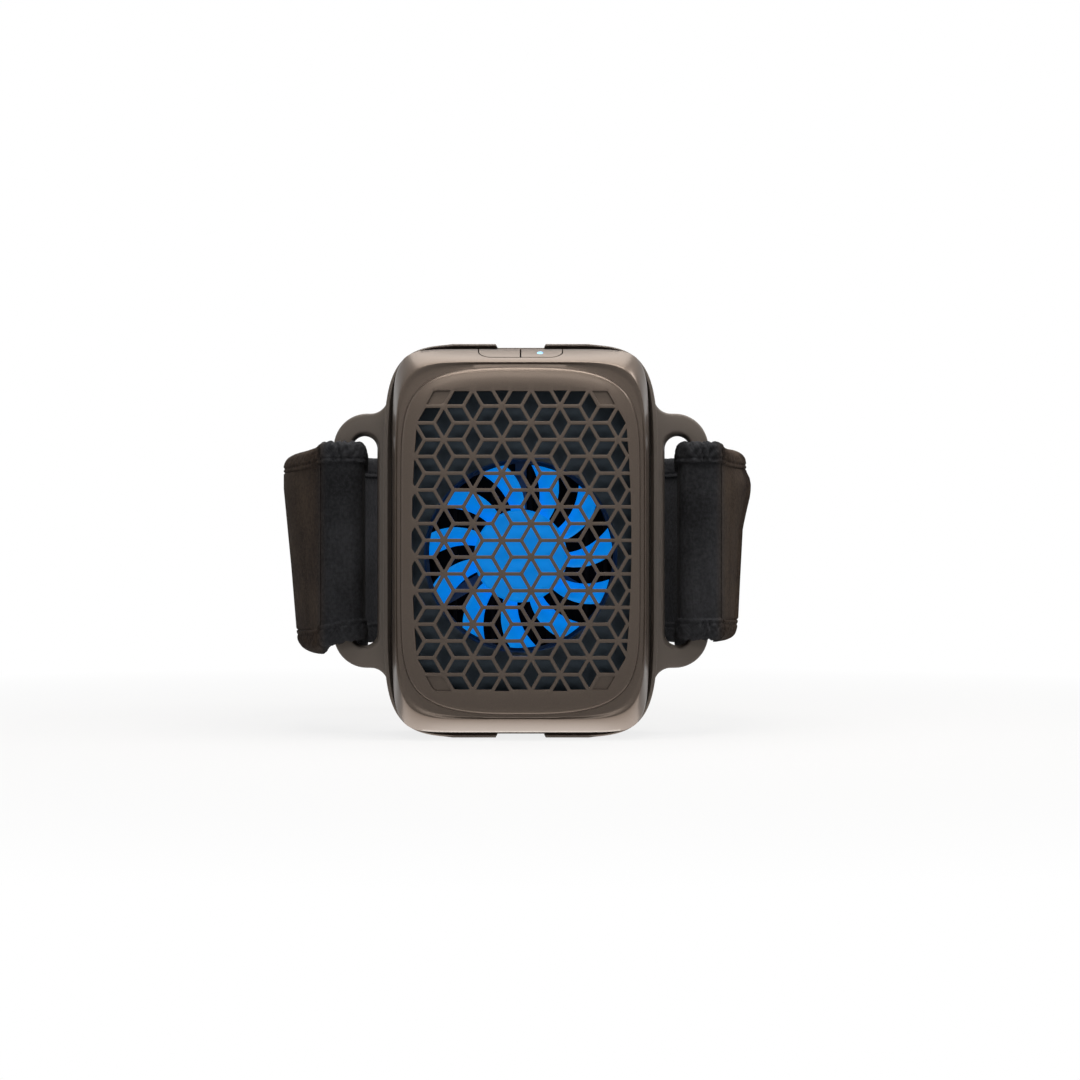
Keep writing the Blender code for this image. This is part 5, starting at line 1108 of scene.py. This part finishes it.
def woven_band(path, section, drop=0.0, spread=0.0, pucker=0.0, welt=0.0, shape=None, seed=0.0):
    """Rings of a band standing on edge along a path, with its run along the path and its heights.

    Each point is the path's, moved along its normal by the section's half thickness, outside first.
    Hems pucker by slanting sine waves along the path, strongest in the middle of the hem's width.
    Drop lowers each step of the path and spread widens it. Welt pushes a seam in across the whole
    height, and shape gives X and Z shifts for run share and height.
    """
    height, thick = section
    across = normals_of(path)
    run = run_of(path)
    level = np.concatenate([height, height[::-1]])[None, :]
    reach = np.concatenate([thick, -thick[::-1]])[None, :]
    half = np.max(height)
    hem = np.clip((np.abs(level) - half + HEM_WIDTH) / HEM_WIDTH, 0, 1)
    phase = seed + np.sign(level) * EDGE_PHASE
    along = run[:, None] + PUCKER_SLANT * (level - half * np.sign(level))
    wave = (np.sin(tau * along / PUCKER_WAVES[0] + phase
                   + 1.5 * np.sin(tau * along / PUCKER_WAVES[1] + phase))
            + 0.7 * np.sin(tau * (along - CREASE_SLANT * level) / CREASE_WAVES[0] + 2.1 * phase
                           + 2 * np.sin(tau * run[:, None] / CREASE_WAVES[1])))
    wave = np.reshape(pucker, (-1, 1)) * wave
    push = wave * np.sin(pi * hem ** 0.8) ** 0.7 - np.reshape(welt, (-1, 1))
    ruffle = wave * np.sign(level) * hem ** 3 * 0.6
    x = path[:, :1] + across[:, :1] * (reach + push)
    depth = path[:, 1:] + across[:, 1:] * (reach + push)
    z = level * (1 + np.reshape(spread, (-1, 1))) + ruffle - np.reshape(drop, (-1, 1))
    if shape is not None:
        side_shift, lift = shape((run / run[-1])[:, None], level / half)
        x, z = x + side_shift, z + lift
    return list(np.stack([x, depth, z], -1)), run, level


def band_piece(name, path, section, finish, body, stands_for, **form):
    """A band as a piece with a UV map in metres: the run along it, and the height."""
    rings, run, level = woven_band(path, section, **form)
    mesh = piece(name, *solid_skin(rings), finish, body, stands_for, sharp=60).data
    layer = mesh.uv_layers.new(name="cloth")
    flat = np.zeros(len(mesh.loops) * 2, np.float32)
    corner = np.zeros(len(mesh.loops), np.int32)
    mesh.loops.foreach_get("vertex_index", corner)
    along = np.repeat(run, level.shape[1])
    up = np.tile(level[0], len(run))
    flat[0::2], flat[1::2] = along[corner], up[corner]
    layer.data.foreach_set("uv", flat)


def knit(name, black, brown, rib, course, reach):
    """Knit elastic: ribs crossed by fine courses, fuzz that lightens the tone, painted warm light that browns
    it away from the middle.

    Black and brown are each a dark and a light tint, the brown being painted warm light, and reach gives the
    |X| where one turns into the other. Rib and course are spacings, in metres, and the fuzz is coarser than
    real fibre so that it shows.
    """
    made, tree, shader, coords = material(name, black[0], Roughness=0.9, Specular_IOR_Level=0.06,
                                          Sheen_Weight=0.06, Sheen_Roughness=0.4, IOR=1.5)
    shader.inputs["Sheen Tint"].default_value = linear(brown[1])
    uv = add(tree, "UVMap", uv_map="cloth")
    place = add(tree, "SeparateXYZ", [(coords, 0)])
    place = add(tree, "Math", [(place, 0)], operation="ABSOLUTE")
    place = add(tree, "MapRange", [(place, 0)], interpolation_type="SMOOTHSTEP",
                _1=reach[0], _2=reach[1], _3=0.0, _4=1.0)
    part = add(tree, "SeparateXYZ", [(uv, 0)])
    ribs = add(tree, "Math", [(part.outputs[1], 0)], operation="MULTIPLY", _1=tau / rib)
    ribs = add(tree, "Math", [(ribs, 0)], operation="SINE")
    courses = add(tree, "Math", [(part, 0)], operation="MULTIPLY", _1=tau / course)
    courses = add(tree, "Math", [(courses, 0)], operation="SINE")
    weave = add(tree, "Math", [(ribs, 0), (courses, 1)], operation="MULTIPLY")
    both = add(tree, "Math", [(weave, 0), (ribs, 2)], operation="MULTIPLY_ADD", _1=0.5)
    fuzz = add(tree, "TexNoise", [(coords, "Vector")], Scale=1 / FUZZ_SPACING, Detail=4.0, Roughness=0.6)
    cloud = add(tree, "TexNoise", [(coords, "Vector")], Scale=1 / CLOUD_SPACING, Detail=2.0)
    tone = add(tree, "Math", [(fuzz, 0), (cloud, 1)], operation="ADD")
    shade = add(tree, "MapRange", [(tone, 0)], _1=0.7, _2=1.35, _3=0.0, _4=1.0)
    # Painted warm light: each tint runs from the black to a brown as |X| grows.
    dark, light = (add(tree, "Mix", [(place, 0)], data_type="RGBA", _6=linear(near), _7=linear(far))
                   for near, far in zip(black, brown))
    blend = add(tree, "Mix", [(shade, 0), (dark.outputs[2], 6), (light.outputs[2], 7)], data_type="RGBA")
    tree.links.new(blend.outputs[2], shader.inputs["Base Color"])
    relief = add(tree, "Math", [(fuzz, 0), (both, 2)], operation="MULTIPLY_ADD", _1=1.2)
    vary(tree, shader, relief=(relief, 0.45, 0.00008))
    return made


# The knit is a matt, faintly ribbed black that the fuzz lightens in patches and painted warm light turns
# brown at the sides, and the hook tape a flat black with a stubbly grain.
elastic = knit("warp_knit_elastic", ("#17181a", "#2f3033"), ("#27211f", "#40372f"), 0.0011, 0.0008,
               (0.0515, 0.0560))
hook_tape = moulded("nylon_hook_tape", "#0f0f10", 0.75, 0.0004, 0.00015, IOR=1.53)
right = strap_ring()
whole = np.concatenate([right[:0:-1] * (-1, 1), right])
run = run_of(whole)
to_end = np.minimum(run, run[-1] - run)
slump = eased((to_end - SLUMP_SPAN[0]) / SLUMP_SPAN[1])
near_bar = np.exp(-((to_end - PUCKER_SPOT[0]) / PUCKER_SPOT[1]) ** 2)
section = strap_section(STRAP_HALF_HEIGHT, STRAP_EDGE, STRAP_FIELD, HEM_WIDTH, STITCH_DEPTH)
bagged = LEFT_BAG * np.exp(-(run / BAG_REACH) ** 2)[:, None]
band_piece("strap_elastic", whole, section, elastic, "housing", ["strap_band"], drop=RING_DROP * slump,
           spread=RING_SPREAD * slump, pucker=PUCKER * (PUCKER_CALM + (1 - PUCKER_CALM) * near_bar),
           shape=lambda share, level: (0, -bagged * eased(-level)))

# Fold-back tabs. The two ends of the elastic, bulging away from the fold and pressed back on to the strap
# with hook tape sewn under their ends. The left one leans out at the top and bags at its lower corner, and
# the right one is drawn in at its hem and has a stitched seam down its bend.
TAB_LANDING = (0.003, 0.0202)
TAB_BULGE = 0.0112
PATCH_THICKNESS = 0.0005
PATCH_HALF_HEIGHT = 0.0215
PATCH_EDGE = 0.002
PATCH_STEP = 0.0005
LEFT_DRAW = ((-1, 0.62, 1), (0.0041, 0, 0))
LEFT_SAG = ((-1, -0.2, 1), (0.0044, 0.0016, 0.0022))
RIGHT_DRAW = ((-1, 0.15, 0.35, 0.5, 0.6, 0.68, 0.76, 1),
              (0.0066, 0.0049, 0.0037, 0.0027, 0.0024, 0.0027, 0.0038, 0.0040))
RIGHT_SAG = ((-1, -0.4, 1), (0.0012, 0.0002, 0.0014))
HEM_DRAW = 0.0008
HEM_LEVEL = 0.772
HEM_EASE = 0.02
LOOSE_SHARE = 0.76
TAB_PUCKER_CALM = 0.3
TAB_PUCKER_REACH = 0.005
TAB_CORNER = 0.0044
SEAM_INSET = 0.0016
SEAM_WIDTH = 0.0011
SEAM_DEPTH = 0.0009

flare = np.array((sin(FOLD_FLARE), cos(FOLD_FLARE)))
begin = right[-1] + SEAT_GAP * flare
lie = 2 * STRAP_EDGE + 2 * PATCH_THICKNESS + 2 * SEAT_GAP
past_widest = right[:, 1] - RING_WIDEST
on_ring = (past_widest > TAB_LANDING[0]) & (past_widest < TAB_LANDING[1])
landed = (right[on_ring] + normals_of(right)[on_ring] * lie)[::-1]
share = np.linspace(0, 1, 200)[:-1, None]
loose = begin + (landed[0] - begin) * share + np.outer(TAB_BULGE * np.sin(share * pi) ** 1.1, (1, 0))
tab_path = resampled(np.concatenate([loose, landed]), FINE_STEP)
patch_path = resampled(landed + normals_of(landed) * (STRAP_EDGE + SEAT_GAP + PATCH_THICKNESS), PATCH_STEP)
patch_section = strap_section(PATCH_HALF_HEIGHT, PATCH_THICKNESS, PATCH_THICKNESS, PATCH_EDGE, 0)
seam_at = np.argmax(tab_path[:, 0] > tab_path[:, 0].max() - SEAM_INSET) * FINE_STEP
tab_run = np.arange(len(tab_path)) * FINE_STEP
corner_share = TAB_CORNER / STRAP_HALF_HEIGHT
for word, side, draw, sag, bag, seam in (("left", -1, LEFT_DRAW, LEFT_SAG, LEFT_BAG, 0),
                                         ("right", 1, RIGHT_DRAW, RIGHT_SAG, 0, SEAM_DEPTH)):
    def drape(share, level, side=side, draw=draw, sag=sag, bag=bag):
        """Shifts that draw the bend in and round its corners to a circle, and let it sag, by height."""
        loose = np.clip((share if side > 0 else 1 - share) / LOOSE_SHARE, 0, 1)
        bend = np.sin(loose * pi)
        tip = np.clip((np.abs(level) - 1 + corner_share) / corner_share, 0, 1)
        inward = (np.interp(level, *draw) + TAB_CORNER * (1 - np.sqrt(1 - tip ** 2))
                  + HEM_DRAW * eased((np.abs(level) - HEM_LEVEL) / HEM_EASE))
        lift = -np.interp(level, *sag) * bend ** 0.5 - bag * eased(-level) * (1 - loose) ** 4
        return -side * inward * bend, lift

    order = slice(None) if side > 0 else slice(None, None, -1)
    here = (tab_path * (side, 1))[order]
    from_fold = tab_run[order]
    band_piece(f"fold_back_tab_{word}", here, section, elastic, f"{word}_tab", [f"strap_tab_{word}"],
               pucker=PUCKER * (TAB_PUCKER_CALM
                                + (1 - TAB_PUCKER_CALM) * np.exp(-(from_fold / TAB_PUCKER_REACH) ** 2)),
               welt=seam * np.exp(-((from_fold - seam_at) / SEAM_WIDTH) ** 2), shape=drape, seed=0.8 * side)
    band_piece(f"hook_tape_{word}", (patch_path * (side, 1))[order], patch_section, hook_tape, f"{word}_tab",
               [f"hook_patch_{word}"])

# Inside. The heat pump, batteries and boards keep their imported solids, each in its own finish: sooty
# anodised fins, chalk-white alumina, dull grey pads, spongy foam, cells in glossy blue shrink wrap, green
# boards with a waxy gloss and satin black switches.
for (name, tint, rough, spark, depth), more, dressed in (
        (("black_anodised_aluminium", "#0d0e10", 0.42, 0.0002, 0.00001), {"Metallic": 1.0}, ("heat_sink",)),
        (("sintered_alumina", "#e6e4df", 0.55, 0.0003, 0.00001), {"IOR": 1.76},
         ("cooling_module_upper", "cooling_module_lower")),
        (("filled_silicone_pad", "#7d8790", 0.7, 0.0003, 0.00002), {"IOR": 1.43},
         ("thermal_pad_upper", "thermal_pad_lower")),
        (("closed_cell_foam", "#1b1b1c", 0.9, 0.0006, 0.00012), {"IOR": 1.5}, ("insulation_frame",)),
        (("shrink_wrapped_cell", "#274a8a", 0.35, 0.001, 0.00002), {"IOR": 1.5},
         ("battery_upper", "battery_lower")),
        (("solder_masked_glass_epoxy", "#0f4a2c", 0.4, 0.0006, 0.00002), {"IOR": 1.55},
         ("main_board", "button_board", "port_board")),
        (("tact_switch_nylon", "#1c1c1d", 0.5, 0.0003, 0.00001), {"IOR": 1.53},
         ("mode_switch", "power_switch"))):
    dress(moulded(name, tint, rough, spark, depth, **more), *dressed)
